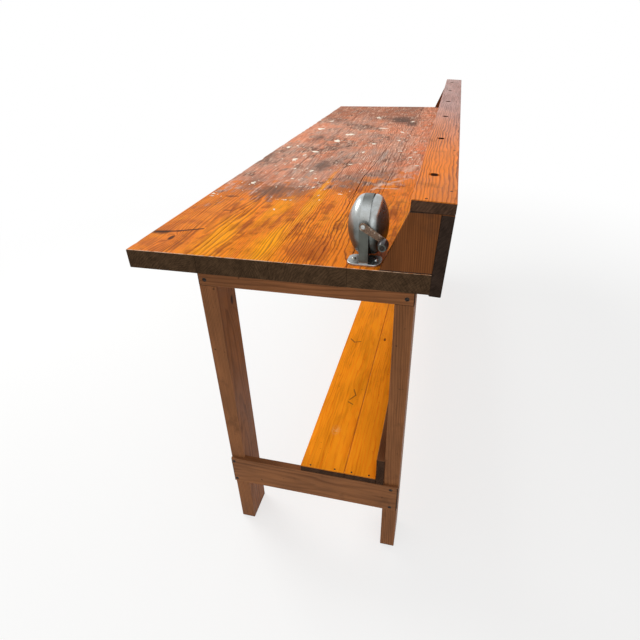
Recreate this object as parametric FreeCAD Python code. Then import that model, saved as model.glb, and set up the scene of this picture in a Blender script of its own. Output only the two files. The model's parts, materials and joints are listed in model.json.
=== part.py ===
import FreeCAD, Part
import math
import os

from FreeCAD import Matrix, Placement, Rotation, Vector

# Carpenter's workbench in dressed softwood, with a hand-cranked pencil sharpener on its right end.
# All sizes are in millimetres. The model frame has X along the bench towards the right end, zero at the
# middle of the length; Y back from the front edge of the top; Z up from the floor.

# Bench as a whole
bench_length = 1900.0
bench_height = 914.0
fit_gap = 0.05
overrun = 2.0
arris = 1.2

# Bench top, four boards side by side
top_board_count = 4
top_board_width = 143.25
top_thickness = 38.0
top_arris = 0.7

# Long drying check in the third board of the top
check_board = 2
check_width = 2.2
check_depth = 7.0
# Along the bench as a share of its length from the right end, then across the board as a share of its width
check_route_shares = [(0.095, 0.56), (0.20, 0.55), (0.295, 0.50), (0.395, 0.57), (0.52, 0.62), (0.63, 0.66)]
check_swell_shares = [0.0, 0.7, 1.0, 0.8, 0.6, 0.0]

# Legs
leg_thickness = 39.0
leg_width = 88.0
leg_end_inset = 96.0
front_leg_setback = 83.0
back_leg_setback = 27.5

# Rail across each end, let into the legs flush
end_rail_thickness = 19.0
end_rail_height = 80.0

# Stretcher across each end, half housed in the legs, carrying the lower shelf
stretcher_thickness = 19.0
stretcher_height = 92.0
stretcher_floor_gap = 169.0
stretcher_housing = 11.0
stretcher_end_setback = 1.0

# Lower shelf and the rail on edge behind it
shelf_thickness = 19.0
shelf_front_width = 118.0
shelf_back_width = 82.0
shelf_joint_gap = 0.8
shelf_end_setback = 1.5
rear_rail_thickness = 20.0
rear_rail_height = 90.0

# Aprons inside the legs and battens under the top
apron_thickness = 19.0
apron_height = 80.0
batten_count = 5
batten_width = 88.0
batten_thickness = 38.0

# Leaning back board, the tool shelf on it and the gussets at its ends
lean_angle = 3.0
back_board_thickness = 20.5
back_board_height = 143.5
back_board_drop = 2.4
tool_shelf_width = 69.0
tool_shelf_thickness = 19.0
tool_hole_count = 6
tool_hole_diameter = 19.0
tool_hole_pitch = 320.0
tool_hole_back_margin = 42.0
gusset_thickness = 19.5
gusset_foot = 87.0
gusset_head_setback = 1.0

# Slotted countersunk screws of the frame
frame_screw_head = 9.5
frame_screw_head_depth = 3.4
frame_screw_shank = 5.0
frame_screw_length = 54.0
# Shorter screws through one board
board_screw_head = 8.0
board_screw_head_depth = 2.8
board_screw_shank = 4.2
board_screw_length = 46.0
# Longer screws up through the battens
batten_screw_length = 60.0
screw_point = 7.0
screw_sink = 0.3
slot_width = 1.2
slot_depth = 1.1
slot_turn = 47.0
# Round wire nails
nail_head = 5.0
nail_shank = 2.8
nail_length = 50.0
nail_head_depth = 1.4
nail_point = 4.0

# Places of the screws and nails
rail_screw_inset = 15.0
rail_screw_low_margin = 14.0
rail_screw_high_margin = 20.0
rail_batten_screw_count = 3
rail_batten_screw_pitch = 120.0
stretcher_screw_front_inset = 9.0
stretcher_screw_back_inset = 19.0
stretcher_screw_edge_margin = 11.5
apron_screw_inset = 14.0
apron_screw_margin = 19.0
rear_rail_screw_margin = 25.0
shelf_nail_share = 0.22
back_screw_count = 7
back_screw_end_margin = 60.0
gusset_screw_margin = 28.0
gusset_nail_margin = 22.0

# Pencil sharpener: place on the top, and its casting
sharpener_end_inset = 67.0
knob_gusset_gap = 4.0
disc_centre_height = 56.0
crank_axis_height = 71.0
hoop_radius = 52.0
hoop_wall = 3.5
hoop_width = 16.0
column_thickness = 6.5
column_proud = 0.6
base_width = 60.0
base_length = 42.0
base_toe = 2.4
base_thickness = 3.5
base_corner = 14.0
base_edge_round = 1.2
web_thickness = 8.0
boss_radius = 7.8
boss_height = 2.5
boss_outer_radius = 6.9
flange_radius = 17.0
flange_thickness = 2.5
flange_room = 0.9
inlet_boss_depth = 8.0
inlet_boss_height = 1.5

# Domed shells of the sharpener
dome_step = 0.8
dome_height = 27.5
dome_rim_round = 15.0
shell_wall = 1.2
spigot_length = 5.0
spigot_gap = 0.3
parting_gap = 2.6

# Screws that hold the sharpener's base
base_screw_head = 8.4
base_screw_dome = 2.6
base_screw_shank = 3.8
base_screw_length = 24.0
base_screw_inset = 10.5

# Crank, its arm and its knob
shaft_diameter = 8.0
shaft_clearance = 0.04
bush_diameter = 11.0
arm_seat_diameter = 6.0
arm_length = 42.4
arm_rest_angle = -32.5
arm_thickness = 3.0
arm_gap = 0.5
arm_hub_radius = 6.6
arm_tip_radius = 4.8
arm_screw_head = 8.6
arm_screw_dome = 2.2
arm_screw_shank = 3.2
arm_screw_length = 12.0
knob_length = 24.8
knob_end_radius = 6.5
knob_belly_radius = 9.0
knob_gap = 0.4
knob_pin_diameter = 4.0
knob_pin_head = 7.4
knob_pin_head_depth = 1.6
ferrule_outer = 12.6
ferrule_inner = 8.6
ferrule_depth = 1.8

# Cutters and gearing inside
cutter_angle = 9.0
cutter_radius = 6.0
cutter_tip_gap = 0.8
cutter_length = 30.0
cutter_setback = 12.0
cutter_teeth = 14
cutter_tooth_share = 0.84
cutter_twist = 50.0
cutter_sections = 6
cutter_bore_clearance = 0.05
cutter_pin_diameter = 3.0
cutter_pin_depth = 2.2
pinion_teeth = 12
ring_teeth = 26
pinion_near_gap = 7.0
pinion_width = 4.6
ring_tooth_width = 5.5
ring_bore_radius = 13.5
ring_length = 10.0
tooth_top_share = 0.11
tooth_root_share = 0.18
ring_top_share = 0.052
ring_root_share = 0.09
tooth_base_share = 0.50
tooth_tip_share = 0.22
space_base_share = 0.60
space_tip_share = 0.34
carrier_disc_thickness = 3.2
carrier_ring_gap = 0.9
carrier_far_radius = 16.0
carrier_gap = 0.4
carrier_bar_width = 5.0
carrier_bar_gap = 0.8
carrier_bar_thickness = 1.7
carrier_hole_diameter = 9.6
guide_diameter = 12.0
guide_bore_diameter = 8.4
guide_flange_diameter = 18.0
guide_flange_thickness = 2.0

# Sizes worked out from the ones above
half_length = bench_length / 2
top_depth = top_board_count * top_board_width
top_underside = bench_height - top_thickness
leg_outer_x = half_length - leg_end_inset
leg_inner_x = leg_outer_x - leg_width
front_leg_y = front_leg_setback
back_leg_y = top_depth - back_leg_setback - leg_thickness
rail_inner_x = leg_outer_x - end_rail_thickness
rail_bottom = top_underside - end_rail_height
stretcher_inner_x = leg_outer_x - stretcher_housing
stretcher_outer_x = stretcher_inner_x + stretcher_thickness
stretcher_top = stretcher_floor_gap + stretcher_height
shelf_end_x = stretcher_outer_x - shelf_end_setback
rear_rail_y = back_leg_y - rear_rail_thickness
shelf_back_y = rear_rail_y - shelf_joint_gap
shelf_middle_y = shelf_back_y - shelf_back_width
shelf_front_y = shelf_middle_y - shelf_joint_gap - shelf_front_width
front_apron_y = front_leg_y + leg_thickness
back_apron_y = back_leg_y - apron_thickness
lean = math.radians(lean_angle)
lean_bottom = -(top_thickness + back_board_drop)
lean_top = lean_bottom + back_board_height
shelf_lean_front = back_board_thickness - tool_shelf_width
shelf_lean_top = lean_top + tool_shelf_thickness

# Directions
RIGHT = Vector(1, 0, 0)
BACK = Vector(0, 1, 0)
UP = Vector(0, 0, 1)
ENDS = {"right": 1, "left": -1}


def box(low, high):
    """Block between two opposite corners, given in either order along X."""
    first = min(low[0], high[0])
    size = (abs(high[0] - low[0]), high[1] - low[1], high[2] - low[2])
    return Part.makeBox(*size, Vector(first, low[1], low[2]))


def ease(solid, size):
    """Take the sharp arris off every edge of a plain board."""
    return solid.makeChamfer(size, solid.Edges)


def board(low, high, size=arris):
    return ease(box(low, high), size)


def across(solid, side):
    """Solid modelled at the right end, or its mirror image at the left end."""
    if side > 0:
        return solid
    return solid.mirror(Vector(0, 0, 0), RIGHT)


def aim(solid, point, direction):
    """Turn a solid's own +Y axis to a direction, and move its own origin to a point."""
    return solid.transformed(Placement(point, Rotation(BACK, direction)).toMatrix(), copy=True)


def turned(outline, point=None, direction=None):
    """Revolve an outline of (radius, along) corners about its own +Y axis, then aim it."""
    corners = [Vector(radius, along, 0) for radius, along in outline]
    face = Part.Face(Part.makePolygon(corners + corners[:1]))
    solid = face.revolve(Vector(0, 0, 0), BACK, 360)
    if point is None:
        return solid
    return aim(solid, point, direction)


def ring(outer, inner, start, end, point, direction):
    """Tube, or a plain rod where the inner radius is zero, between two places along an axis."""
    outline = [(inner, start), (outer, start), (outer, end), (inner, end)]
    return turned(outline, point, direction)


def lean_point(x, out, up):
    """Place on the leaning back: out from the back board's front face, up from the top's back edge."""
    y = top_depth + out * math.cos(lean) + up * math.sin(lean)
    z = bench_height - out * math.sin(lean) + up * math.cos(lean)
    return Vector(x, y, z)


lean_out = Vector(0, math.cos(lean), -math.sin(lean))
lean_up = Vector(0, math.sin(lean), math.cos(lean))


def lean_board(x0, x1, out0, out1, up0, up1):
    """Board square to the leaning back."""
    solid = board((x0, out0, up0), (x1, out1, up1))
    placing = Placement(lean_point(0, 0, 0), Rotation(RIGHT, -lean_angle))
    return solid.transformed(placing.toMatrix(), copy=True)


def check_groove():
    """Long thin split that widens from nothing at both ends, following its route."""
    left, right = [], []
    board_y = check_board * top_board_width
    for (along, over), swell in zip(check_route_shares, check_swell_shares):
        x = half_length - along * bench_length
        y = board_y + over * top_board_width
        half = swell * check_width / 2
        left.append(Vector(x, y - half, bench_height - check_depth))
        right.append(Vector(x, y + half, bench_height - check_depth))
    outline = left + right[-2:0:-1]
    face = Part.Face(Part.makePolygon(outline + outline[:1]))
    return face.extrude(UP * (check_depth + overrun))


def back_edge_waste():
    """Wedge beyond the leaning back face of the top."""
    corners = [
        lean_point(0, 0, overrun),
        lean_point(0, back_board_thickness, overrun),
        lean_point(0, back_board_thickness, lean_bottom),
        lean_point(0, 0, lean_bottom),
    ]
    face = Part.Face(Part.makePolygon(corners + corners[:1]))
    wedge = face.extrude(RIGHT * (bench_length + 2 * overrun))
    wedge.translate(RIGHT * -(half_length + overrun))
    return wedge


def make_top(parts):
    for index in range(top_board_count):
        front = index * top_board_width
        low = (-half_length, front, top_underside)
        high = (half_length, front + top_board_width, bench_height)
        solid = board(low, high, top_arris)
        if index == check_board:
            solid = solid.cut(check_groove())
        if index == top_board_count - 1:
            solid = solid.cut(back_edge_waste())
        parts[f"top_board_{index + 1}"] = solid


def make_legs(parts):
    housing = box(
        (stretcher_inner_x, 0, stretcher_floor_gap),
        (leg_outer_x + overrun, top_depth, stretcher_top),
    )
    rail_seat = box(
        (rail_inner_x, 0, rail_bottom),
        (leg_outer_x + overrun, top_depth, top_underside + overrun),
    )
    for row, y in (("front", front_leg_y), ("back", back_leg_y)):
        leg = board((leg_inner_x, y, 0), (leg_outer_x, y + leg_thickness, top_underside))
        leg = leg.cut(housing).cut(rail_seat)
        for end, side in ENDS.items():
            parts[f"{row}_{end}_leg"] = across(leg, side)


def make_end_rails(parts):
    rail = board(
        (rail_inner_x, front_leg_y, rail_bottom),
        (leg_outer_x, back_leg_y + leg_thickness, top_underside),
    )
    stretcher = board(
        (stretcher_inner_x, front_leg_y + stretcher_end_setback, stretcher_floor_gap),
        (stretcher_outer_x, back_leg_y + leg_thickness - stretcher_end_setback, stretcher_top),
    )
    for end, side in ENDS.items():
        parts[f"{end}_end_rail"] = across(rail, side)
        parts[f"{end}_end_stretcher"] = across(stretcher, side)


def make_long_members(parts):
    shelf_z = stretcher_top
    for name, y, width in (
        ("front_shelf_board", shelf_front_y, shelf_front_width),
        ("back_shelf_board", shelf_middle_y, shelf_back_width),
    ):
        low = (-shelf_end_x, y, shelf_z)
        parts[name] = board(low, (shelf_end_x, y + width, shelf_z + shelf_thickness))
    parts["rear_lower_rail"] = board(
        (-shelf_end_x, rear_rail_y, shelf_z),
        (shelf_end_x, back_leg_y, shelf_z + rear_rail_height),
    )
    for name, y in (("front_apron", front_apron_y), ("back_apron", back_apron_y)):
        parts[name] = board(
            (-rail_inner_x, y, top_underside - apron_height),
            (rail_inner_x, y + apron_thickness, top_underside),
        )


def batten_places():
    """Middle of each batten along the bench, the outer two against the end rails."""
    reach = rail_inner_x - batten_width / 2
    step = 2 * reach / (batten_count - 1)
    return [-reach + step * index for index in range(batten_count)]


def make_battens(parts):
    for index, x in enumerate(batten_places()):
        parts[f"top_batten_{index + 1}"] = board(
            (x - batten_width / 2, front_apron_y + apron_thickness, top_underside - batten_thickness),
            (x + batten_width / 2, back_apron_y, top_underside),
        )


def tool_hole_places():
    reach = tool_hole_pitch * (tool_hole_count - 1) / 2
    return [reach - tool_hole_pitch * index for index in range(tool_hole_count)]


def make_back(parts):
    parts["back_board"] = lean_board(
        -half_length, half_length, 0, back_board_thickness, lean_bottom, lean_top
    )
    shelf = lean_board(
        -half_length, half_length, shelf_lean_front, back_board_thickness, lean_top, shelf_lean_top
    )
    out = back_board_thickness - tool_hole_back_margin
    for x in tool_hole_places():
        start = lean_point(x, out, lean_top - overrun)
        length = tool_shelf_thickness + 2 * overrun
        shelf = shelf.cut(Part.makeCylinder(tool_hole_diameter / 2, length, start, lean_up))
    parts["tool_shelf"] = shelf


def gusset_front_edge(x):
    """Foot and head of the gusset's slanted front edge."""
    foot = Vector(x, top_depth - gusset_foot, bench_height)
    return foot, lean_point(x, shelf_lean_front + gusset_head_setback, lean_top)


def make_gussets(parts):
    """Four-sided bracket: level foot on the top, back edge on the back board, head under the tool shelf."""
    x = half_length - gusset_thickness
    foot, head = gusset_front_edge(x)
    corners = [foot, lean_point(x, 0, 0), lean_point(x, 0, lean_top), head]
    face = Part.Face(Part.makePolygon(corners + corners[:1]))
    gusset = ease(face.extrude(RIGHT * gusset_thickness), top_arris)
    for end, side in ENDS.items():
        parts[f"{end}_gusset"] = across(gusset, side)


class Fastener:
    """Turned fastener: its own solid, and the slightly larger hole that it sits in."""

    def __init__(self, head, shank, length, head_depth, point, sunk, slotted):
        self.head = head / 2
        self.shank = shank / 2
        self.length = length
        self.head_depth = head_depth
        self.point = point
        self.sunk = sunk
        self.slotted = slotted

    def outline(self, gap, raise_by):
        """Half section from the head's flat top at zero down to the point."""
        shoulder = self.shank + gap if self.sunk else self.head + gap
        return [
            (0, raise_by),
            (self.head + gap, raise_by),
            (self.head + gap, 0),
            (shoulder, -self.head_depth),
            (self.shank + gap, -self.head_depth),
            (self.shank + gap, self.point - self.length),
            (0, -self.length - gap),
        ]

    def hole(self, point, direction):
        return turned(self.clean(self.outline(fit_gap, overrun)), point, direction * -1)

    def clean(self, outline):
        """Outline without repeated corners."""
        kept = []
        for corner in outline:
            if not kept or corner != kept[-1]:
                kept.append(corner)
        return kept

    def solid(self, point, direction, turn):
        body = turned(self.clean(self.outline(0, 0)))
        if self.slotted:
            slot = Part.makeBox(
                2 * self.head + overrun, slot_depth + overrun, slot_width,
                Vector(-self.head - overrun / 2, -slot_depth, -slot_width / 2),
            )
            body = body.cut(slot)
        body.rotate(Vector(0, 0, 0), BACK, turn)
        return aim(body, point, direction * -1)


frame_screw = Fastener(
    frame_screw_head, frame_screw_shank, frame_screw_length, frame_screw_head_depth, screw_point, True, True
)
board_screw = Fastener(
    board_screw_head, board_screw_shank, board_screw_length, board_screw_head_depth, screw_point, True, True
)
batten_screw = Fastener(
    frame_screw_head, frame_screw_shank, batten_screw_length, frame_screw_head_depth, screw_point, True, True
)
nail = Fastener(nail_head, nail_shank, nail_length, nail_head_depth, nail_point, False, False)


def fasten(parts, name, fastener, places, joined):
    """Drive one fastener at each (point, direction), holes cut in the named pieces, heads sunk a little."""
    solids = []
    for index, (point, direction) in enumerate(places):
        start = point + direction * screw_sink
        hole = fastener.hole(start, direction)
        reach = hole.BoundBox
        for node in joined:
            if parts[node].BoundBox.intersect(reach):
                parts[node] = parts[node].cut(hole)
        solids.append(fastener.solid(start, direction, index * slot_turn))
    parts[name] = Part.makeCompound(solids)


def at_both_ends(places):
    """Places at the right end, and the same ones mirrored at the left end."""
    mirrored = []
    for point, direction in places:
        mirrored.append((
            Vector(-point.x, point.y, point.z),
            Vector(-direction.x, direction.y, direction.z),
        ))
    return places + mirrored


def end_rail_places():
    low = rail_bottom + rail_screw_low_margin
    high = top_underside - rail_screw_high_margin
    places = []
    for y in (front_leg_y + rail_screw_inset, back_leg_y + leg_thickness - rail_screw_inset):
        for z in (low, high):
            places.append((Vector(leg_outer_x, y, z), RIGHT * -1))
    middle = (front_leg_y + back_leg_y + leg_thickness) / 2
    first = middle - rail_batten_screw_pitch * (rail_batten_screw_count - 1) / 2
    for index in range(rail_batten_screw_count):
        y = first + rail_batten_screw_pitch * index
        places.append((Vector(leg_outer_x, y, top_underside - batten_thickness / 2), RIGHT * -1))
    return at_both_ends(places)


def stretcher_places():
    places = []
    for y in (
        front_leg_y + stretcher_screw_front_inset,
        back_leg_y + leg_thickness - stretcher_screw_back_inset,
    ):
        for z in (
            stretcher_floor_gap + stretcher_screw_edge_margin,
            stretcher_top - stretcher_screw_edge_margin,
        ):
            places.append((Vector(stretcher_outer_x, y, z), RIGHT * -1))
    return at_both_ends(places)


def apron_places():
    x = leg_inner_x + apron_screw_inset
    places = []
    for y, direction in ((front_apron_y + apron_thickness, BACK * -1), (back_apron_y, BACK)):
        for z in (top_underside - apron_screw_margin, top_underside - apron_height + apron_screw_margin):
            places.append((Vector(x, y, z), direction))
    return at_both_ends(places)


def batten_screw_places():
    """One screw up through each batten into each board behind the first, kept between the aprons."""
    places = []
    low_y = front_apron_y + apron_thickness
    for x in batten_places():
        for index in range(1, top_board_count):
            start = max(index * top_board_width, low_y)
            end = min((index + 1) * top_board_width, back_apron_y)
            places.append((Vector(x, (start + end) / 2, top_underside - batten_thickness), UP))
    return places


def shelf_nail_places():
    x = (stretcher_inner_x + stretcher_outer_x) / 2
    places = []
    for y, width in ((shelf_front_y, shelf_front_width), (shelf_middle_y, shelf_back_width)):
        for share in (shelf_nail_share, 1 - shelf_nail_share):
            places.append((Vector(x, y + share * width, stretcher_top + shelf_thickness), UP * -1))
    return at_both_ends(places)


def rear_rail_places():
    x = (leg_inner_x + leg_outer_x) / 2
    low = stretcher_top + rear_rail_screw_margin
    high = stretcher_top + rear_rail_height - rear_rail_screw_margin
    places = [(Vector(x, rear_rail_y, z), BACK) for z in (low, high)]
    return at_both_ends(places)


def spread_along():
    """Even places along the bench for the back's screws and nails."""
    reach = half_length - back_screw_end_margin
    step = 2 * reach / (back_screw_count - 1)
    return [reach - step * index for index in range(back_screw_count)]


def back_board_places():
    up = -top_thickness / 2
    return [(lean_point(x, back_board_thickness, up), lean_out * -1) for x in spread_along()]


def gusset_places():
    x = half_length - gusset_thickness / 2
    places = []
    for up in (gusset_screw_margin, lean_top - gusset_screw_margin):
        places.append((lean_point(x, back_board_thickness, up), lean_out * -1))
    return at_both_ends(places)


def tool_shelf_places():
    middle = back_board_thickness / 2
    places = [(lean_point(x, middle, shelf_lean_top), lean_up * -1) for x in spread_along()]
    x = half_length - gusset_thickness / 2
    over_gusset = [(lean_point(x, shelf_lean_front + gusset_nail_margin, shelf_lean_top), lean_up * -1)]
    return places + at_both_ends(over_gusset)


def make_bench_fasteners(parts):
    legs = [f"{row}_{end}_leg" for row in ("front", "back") for end in ENDS]
    end_rails = [f"{end}_end_rail" for end in ENDS]
    stretchers = [f"{end}_end_stretcher" for end in ENDS]
    battens = [f"top_batten_{index + 1}" for index in range(batten_count)]
    boards = [f"top_board_{index + 1}" for index in range(top_board_count)]
    gussets = [f"{end}_gusset" for end in ENDS]
    shelves = ["front_shelf_board", "back_shelf_board"]
    fasten(parts, "end_rail_screws", frame_screw, end_rail_places(), legs + end_rails + battens)
    fasten(parts, "stretcher_screws", frame_screw, stretcher_places(), legs + stretchers)
    fasten(parts, "apron_screws", board_screw, apron_places(), legs + ["front_apron", "back_apron"])
    fasten(parts, "batten_screws", batten_screw, batten_screw_places(), battens + boards)
    fasten(parts, "shelf_nails", nail, shelf_nail_places(), shelves + stretchers)
    fasten(parts, "rear_rail_screws", board_screw, rear_rail_places(), legs + ["rear_lower_rail"])
    fasten(parts, "back_board_screws", board_screw, back_board_places(), ["back_board", boards[-1]])
    fasten(parts, "gusset_screws", board_screw, gusset_places(), ["back_board"] + gussets)
    fasten(parts, "tool_shelf_nails", nail, tool_shelf_places(), ["tool_shelf", "back_board"] + gussets)


def depth_clear_of_gusset():
    """Depth of the crank's axis that keeps the swinging knob and the base in front of the gusset."""
    foot, head = gusset_front_edge(half_length)
    edge = head - foot
    edge_y = foot.y + crank_axis_height * edge.y / edge.z
    depth_for_knob = edge_y - (arm_length + knob_belly_radius + knob_gusset_gap) * edge.Length / edge.z
    depth_for_base = foot.y - base_width / 2
    return min(depth_for_knob, depth_for_base)


def flange_clear_of_spigots():
    """Place of the flange along the crank's axis that keeps its far rim inside the shells' spigots."""
    reach = abs(crank_axis_height - disc_centre_height) + flange_radius
    return math.sqrt(spigot_inner_radius ** 2 - reach ** 2) - flange_thickness - flange_room


# The sharpener stands on the top. Along its crank's axis, zero is over the middle of its round body.
sharpener_x = half_length - sharpener_end_inset
sharpener_depth = depth_clear_of_gusset()
disc_centre = Vector(sharpener_x, sharpener_depth, bench_height + disc_centre_height)
crank_centre = Vector(sharpener_x, sharpener_depth, bench_height + crank_axis_height)
inner_hoop_radius = hoop_radius - hoop_wall
dome_radius = hoop_radius - dome_step
column_face = sharpener_x + hoop_radius + column_proud
base_end_x = column_face + base_toe
spigot_outer_radius = inner_hoop_radius - spigot_gap
spigot_inner_radius = spigot_outer_radius - shell_wall
gear_end_along = flange_clear_of_spigots()
cutter_end_along = gear_end_along - cutter_setback
boss_face_along = hoop_radius + boss_height
arm_back_along = boss_face_along + arm_gap
arm_front_along = arm_back_along + arm_thickness


def sharpener_base():
    """Rounded plate under the column, with a round-headed screw in each ear."""
    plate = box(
        (base_end_x - base_length, sharpener_depth - base_width / 2, bench_height),
        (base_end_x, sharpener_depth + base_width / 2, bench_height + base_thickness),
    )
    uprights = [edge for edge in plate.Edges if edge.BoundBox.ZLength > base_thickness / 2]
    plate = plate.makeFillet(base_corner, uprights)
    rim = [edge for edge in plate.Edges if edge.BoundBox.ZMin > bench_height + base_thickness / 2]
    return plate.makeFillet(base_edge_round, rim)


def base_screw_points():
    x = base_end_x - base_length / 2
    reach = base_width / 2 - base_screw_inset
    return [
        Vector(x, sharpener_depth + reach * side, bench_height + base_thickness)
        for side in (-1, 1)
    ]


def sharpener_frame():
    """Casting: base, column, hoop round the body, and the bosses at both ends of the crank's axis."""
    half = hoop_width / 2
    rim = ring(hoop_radius, inner_hoop_radius, -half, half, disc_centre, BACK)
    column = box(
        (column_face - column_thickness, sharpener_depth - half, bench_height),
        (column_face, sharpener_depth + half, crank_centre.z),
    )
    web = box(
        (base_end_x - base_length, sharpener_depth - web_thickness / 2, bench_height),
        (column_face - column_thickness / 2, sharpener_depth + web_thickness / 2, disc_centre.z),
    )
    uprights = column.fuse(web).cut(ring(inner_hoop_radius, 0, -half, half, disc_centre, BACK))
    casting = sharpener_base().fuse([
        rim,
        uprights,
        ring(boss_radius, 0, gear_end_along, hoop_radius, crank_centre, RIGHT),
        ring(boss_outer_radius, 0, hoop_radius - hoop_wall, boss_face_along, crank_centre, RIGHT),
        ring(flange_radius, 0, gear_end_along, gear_end_along + flange_thickness, crank_centre, RIGHT),
        ring(
            boss_radius, 0, -hoop_radius - inlet_boss_height, -hoop_radius + inlet_boss_depth,
            crank_centre, RIGHT,
        ),
    ])
    bush_bore = ring(
        bush_diameter / 2 + fit_gap, 0, gear_end_along - overrun, boss_face_along + overrun,
        crank_centre, RIGHT,
    )
    guide_bore = ring(
        guide_diameter / 2 + fit_gap, 0, -hoop_radius - inlet_boss_height - overrun,
        -hoop_radius + inlet_boss_depth + overrun, crank_centre, RIGHT,
    )
    casting = casting.cut(bush_bore).cut(guide_bore)
    for point in base_screw_points():
        start = point - UP * (base_thickness + overrun)
        length = base_thickness + 2 * overrun
        casting = casting.cut(Part.makeCylinder(base_screw_shank / 2 + fit_gap, length, start))
    return casting.removeSplitter()


def dome_shell(start, height):
    """Thin oval dome on the disc's axis: a tight arc at its mouth runs into a wide arc over its pole."""
    rim = dome_rim_round
    crown = ((dome_radius - rim) ** 2 + height ** 2 - rim ** 2) / (2 * (height - rim))
    rim_centre = Vector(dome_radius - rim, start, 0)
    crown_centre = Vector(0, start + height - crown, 0)
    join = math.atan2(rim_centre.y - crown_centre.y, rim_centre.x)

    def on(centre, radius, angle):
        return centre + Vector(math.cos(angle), math.sin(angle), 0) * radius

    def dome_line(inset):
        rim_inset = rim - inset
        crown_inset = crown - inset
        turns = (0, join / 2, join, (join + math.pi / 2) / 2, math.pi / 2)
        mouth, shoulder, meeting = [on(rim_centre, rim_inset, turn) for turn in turns[:3]]
        upper, pole = [on(crown_centre, crown_inset, turn) for turn in turns[3:]]
        return Part.Arc(mouth, shoulder, meeting), Part.Arc(meeting, upper, pole), mouth, pole

    outer_rim, outer_crown, outer_mouth, outer_pole = dome_line(0)
    inner_rim, inner_crown, inner_mouth, inner_pole = dome_line(shell_wall)
    edges = [
        outer_rim,
        outer_crown,
        Part.LineSegment(outer_pole, inner_pole),
        inner_crown,
        inner_rim,
        Part.LineSegment(inner_mouth, outer_mouth),
    ]
    face = Part.Face(Part.Wire(Part.__sortEdges__([edge.toShape() for edge in edges])))
    return face.revolve(Vector(0, 0, 0), BACK, 360)


def lipped_shell(gap):
    """Dome with a rim that meets the hoop and a spigot inside it; a gap leaves a groove beside the hoop."""
    half = hoop_width / 2
    dome = dome_shell(half + gap, dome_height - gap)
    spigot = turned([
        (spigot_inner_radius, half - spigot_length),
        (spigot_outer_radius, half - spigot_length),
        (spigot_outer_radius, half + gap + shell_wall),
        (spigot_inner_radius, half + gap + shell_wall),
    ])
    rim = turned([
        (spigot_inner_radius, half + gap),
        (dome_radius - shell_wall / 2, half + gap),
        (dome_radius - shell_wall / 2, half + gap + shell_wall),
        (spigot_inner_radius, half + gap + shell_wall),
    ])
    shell = dome.fuse([spigot, rim])
    shell.translate(disc_centre)
    reach = boss_radius + spigot_gap
    notch = box(
        (sharpener_x - hoop_radius, sharpener_depth, crank_centre.z - reach),
        (sharpener_x + hoop_radius, sharpener_depth + half, crank_centre.z + reach),
    )
    return shell.cut(notch).removeSplitter()


def front_shell():
    """The same shell as the cover, closed against the hoop, turned to face the front."""
    shell = lipped_shell(0)
    return shell.mirror(disc_centre, BACK)


def arm_outline(x, hub_radius, tip_radius, length, rest_angle):
    """Tapered bar with round ends, tangent lines between the two circles, square to the crank's axis."""
    spread = math.acos((hub_radius - tip_radius) / length)
    hub = Vector(x, crank_centre.y, crank_centre.z)
    tip = arm_tip(x, length, rest_angle)
    angle = math.radians(rest_angle)

    def on(centre, radius, turn):
        return centre + Vector(0, math.cos(angle + turn), math.sin(angle + turn)) * radius

    edges = [
        Part.Arc(on(hub, hub_radius, spread), on(hub, hub_radius, math.pi), on(hub, hub_radius, -spread)),
        Part.LineSegment(on(hub, hub_radius, -spread), on(tip, tip_radius, -spread)),
        Part.Arc(on(tip, tip_radius, -spread), on(tip, tip_radius, 0), on(tip, tip_radius, spread)),
        Part.LineSegment(on(tip, tip_radius, spread), on(hub, hub_radius, spread)),
    ]
    return Part.Face(Part.Wire([edge.toShape() for edge in edges]))


def arm_tip(x, length, rest_angle):
    angle = math.radians(rest_angle)
    return Vector(x, crank_centre.y + length * math.cos(angle), crank_centre.z + length * math.sin(angle))


knob_centre = arm_tip(sharpener_x, arm_length, arm_rest_angle)


def crank_arm():
    face = arm_outline(
        sharpener_x + arm_back_along, arm_hub_radius, arm_tip_radius, arm_length, arm_rest_angle
    )
    arm = face.extrude(RIGHT * arm_thickness)
    ends = [arm_back_along - overrun, arm_front_along + overrun]
    arm = arm.cut(ring(arm_seat_diameter / 2 + fit_gap, 0, *ends, crank_centre, RIGHT))
    return arm.cut(ring(knob_pin_diameter / 2 + fit_gap, 0, *ends, knob_centre, RIGHT))


def domed_screw(head, dome, shank, length, point, direction):
    """Round-headed slotted screw, its head's flat underside at the point, driven along the direction."""
    radius = head / 2
    seat = Vector(radius, 0, 0)
    crown = Vector(0, dome, 0)
    middle = Vector(radius * math.cos(math.pi / 4), dome * math.sin(math.pi / 4), 0)
    edges = [
        Part.Arc(seat, middle, crown).toShape(),
        Part.LineSegment(crown, Vector(0, -length, 0)).toShape(),
        Part.LineSegment(Vector(0, -length, 0), Vector(shank / 2, -length, 0)).toShape(),
        Part.LineSegment(Vector(shank / 2, -length, 0), Vector(shank / 2, 0, 0)).toShape(),
        Part.LineSegment(Vector(shank / 2, 0, 0), seat).toShape(),
    ]
    body = Part.Face(Part.Wire(edges)).revolve(Vector(0, 0, 0), BACK, 360)
    slot = Part.makeBox(
        head + overrun, slot_depth + overrun, slot_width,
        Vector(-radius - overrun / 2, dome - slot_depth, -slot_width / 2),
    )
    return aim(body.cut(slot), point, direction * -1)


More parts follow.
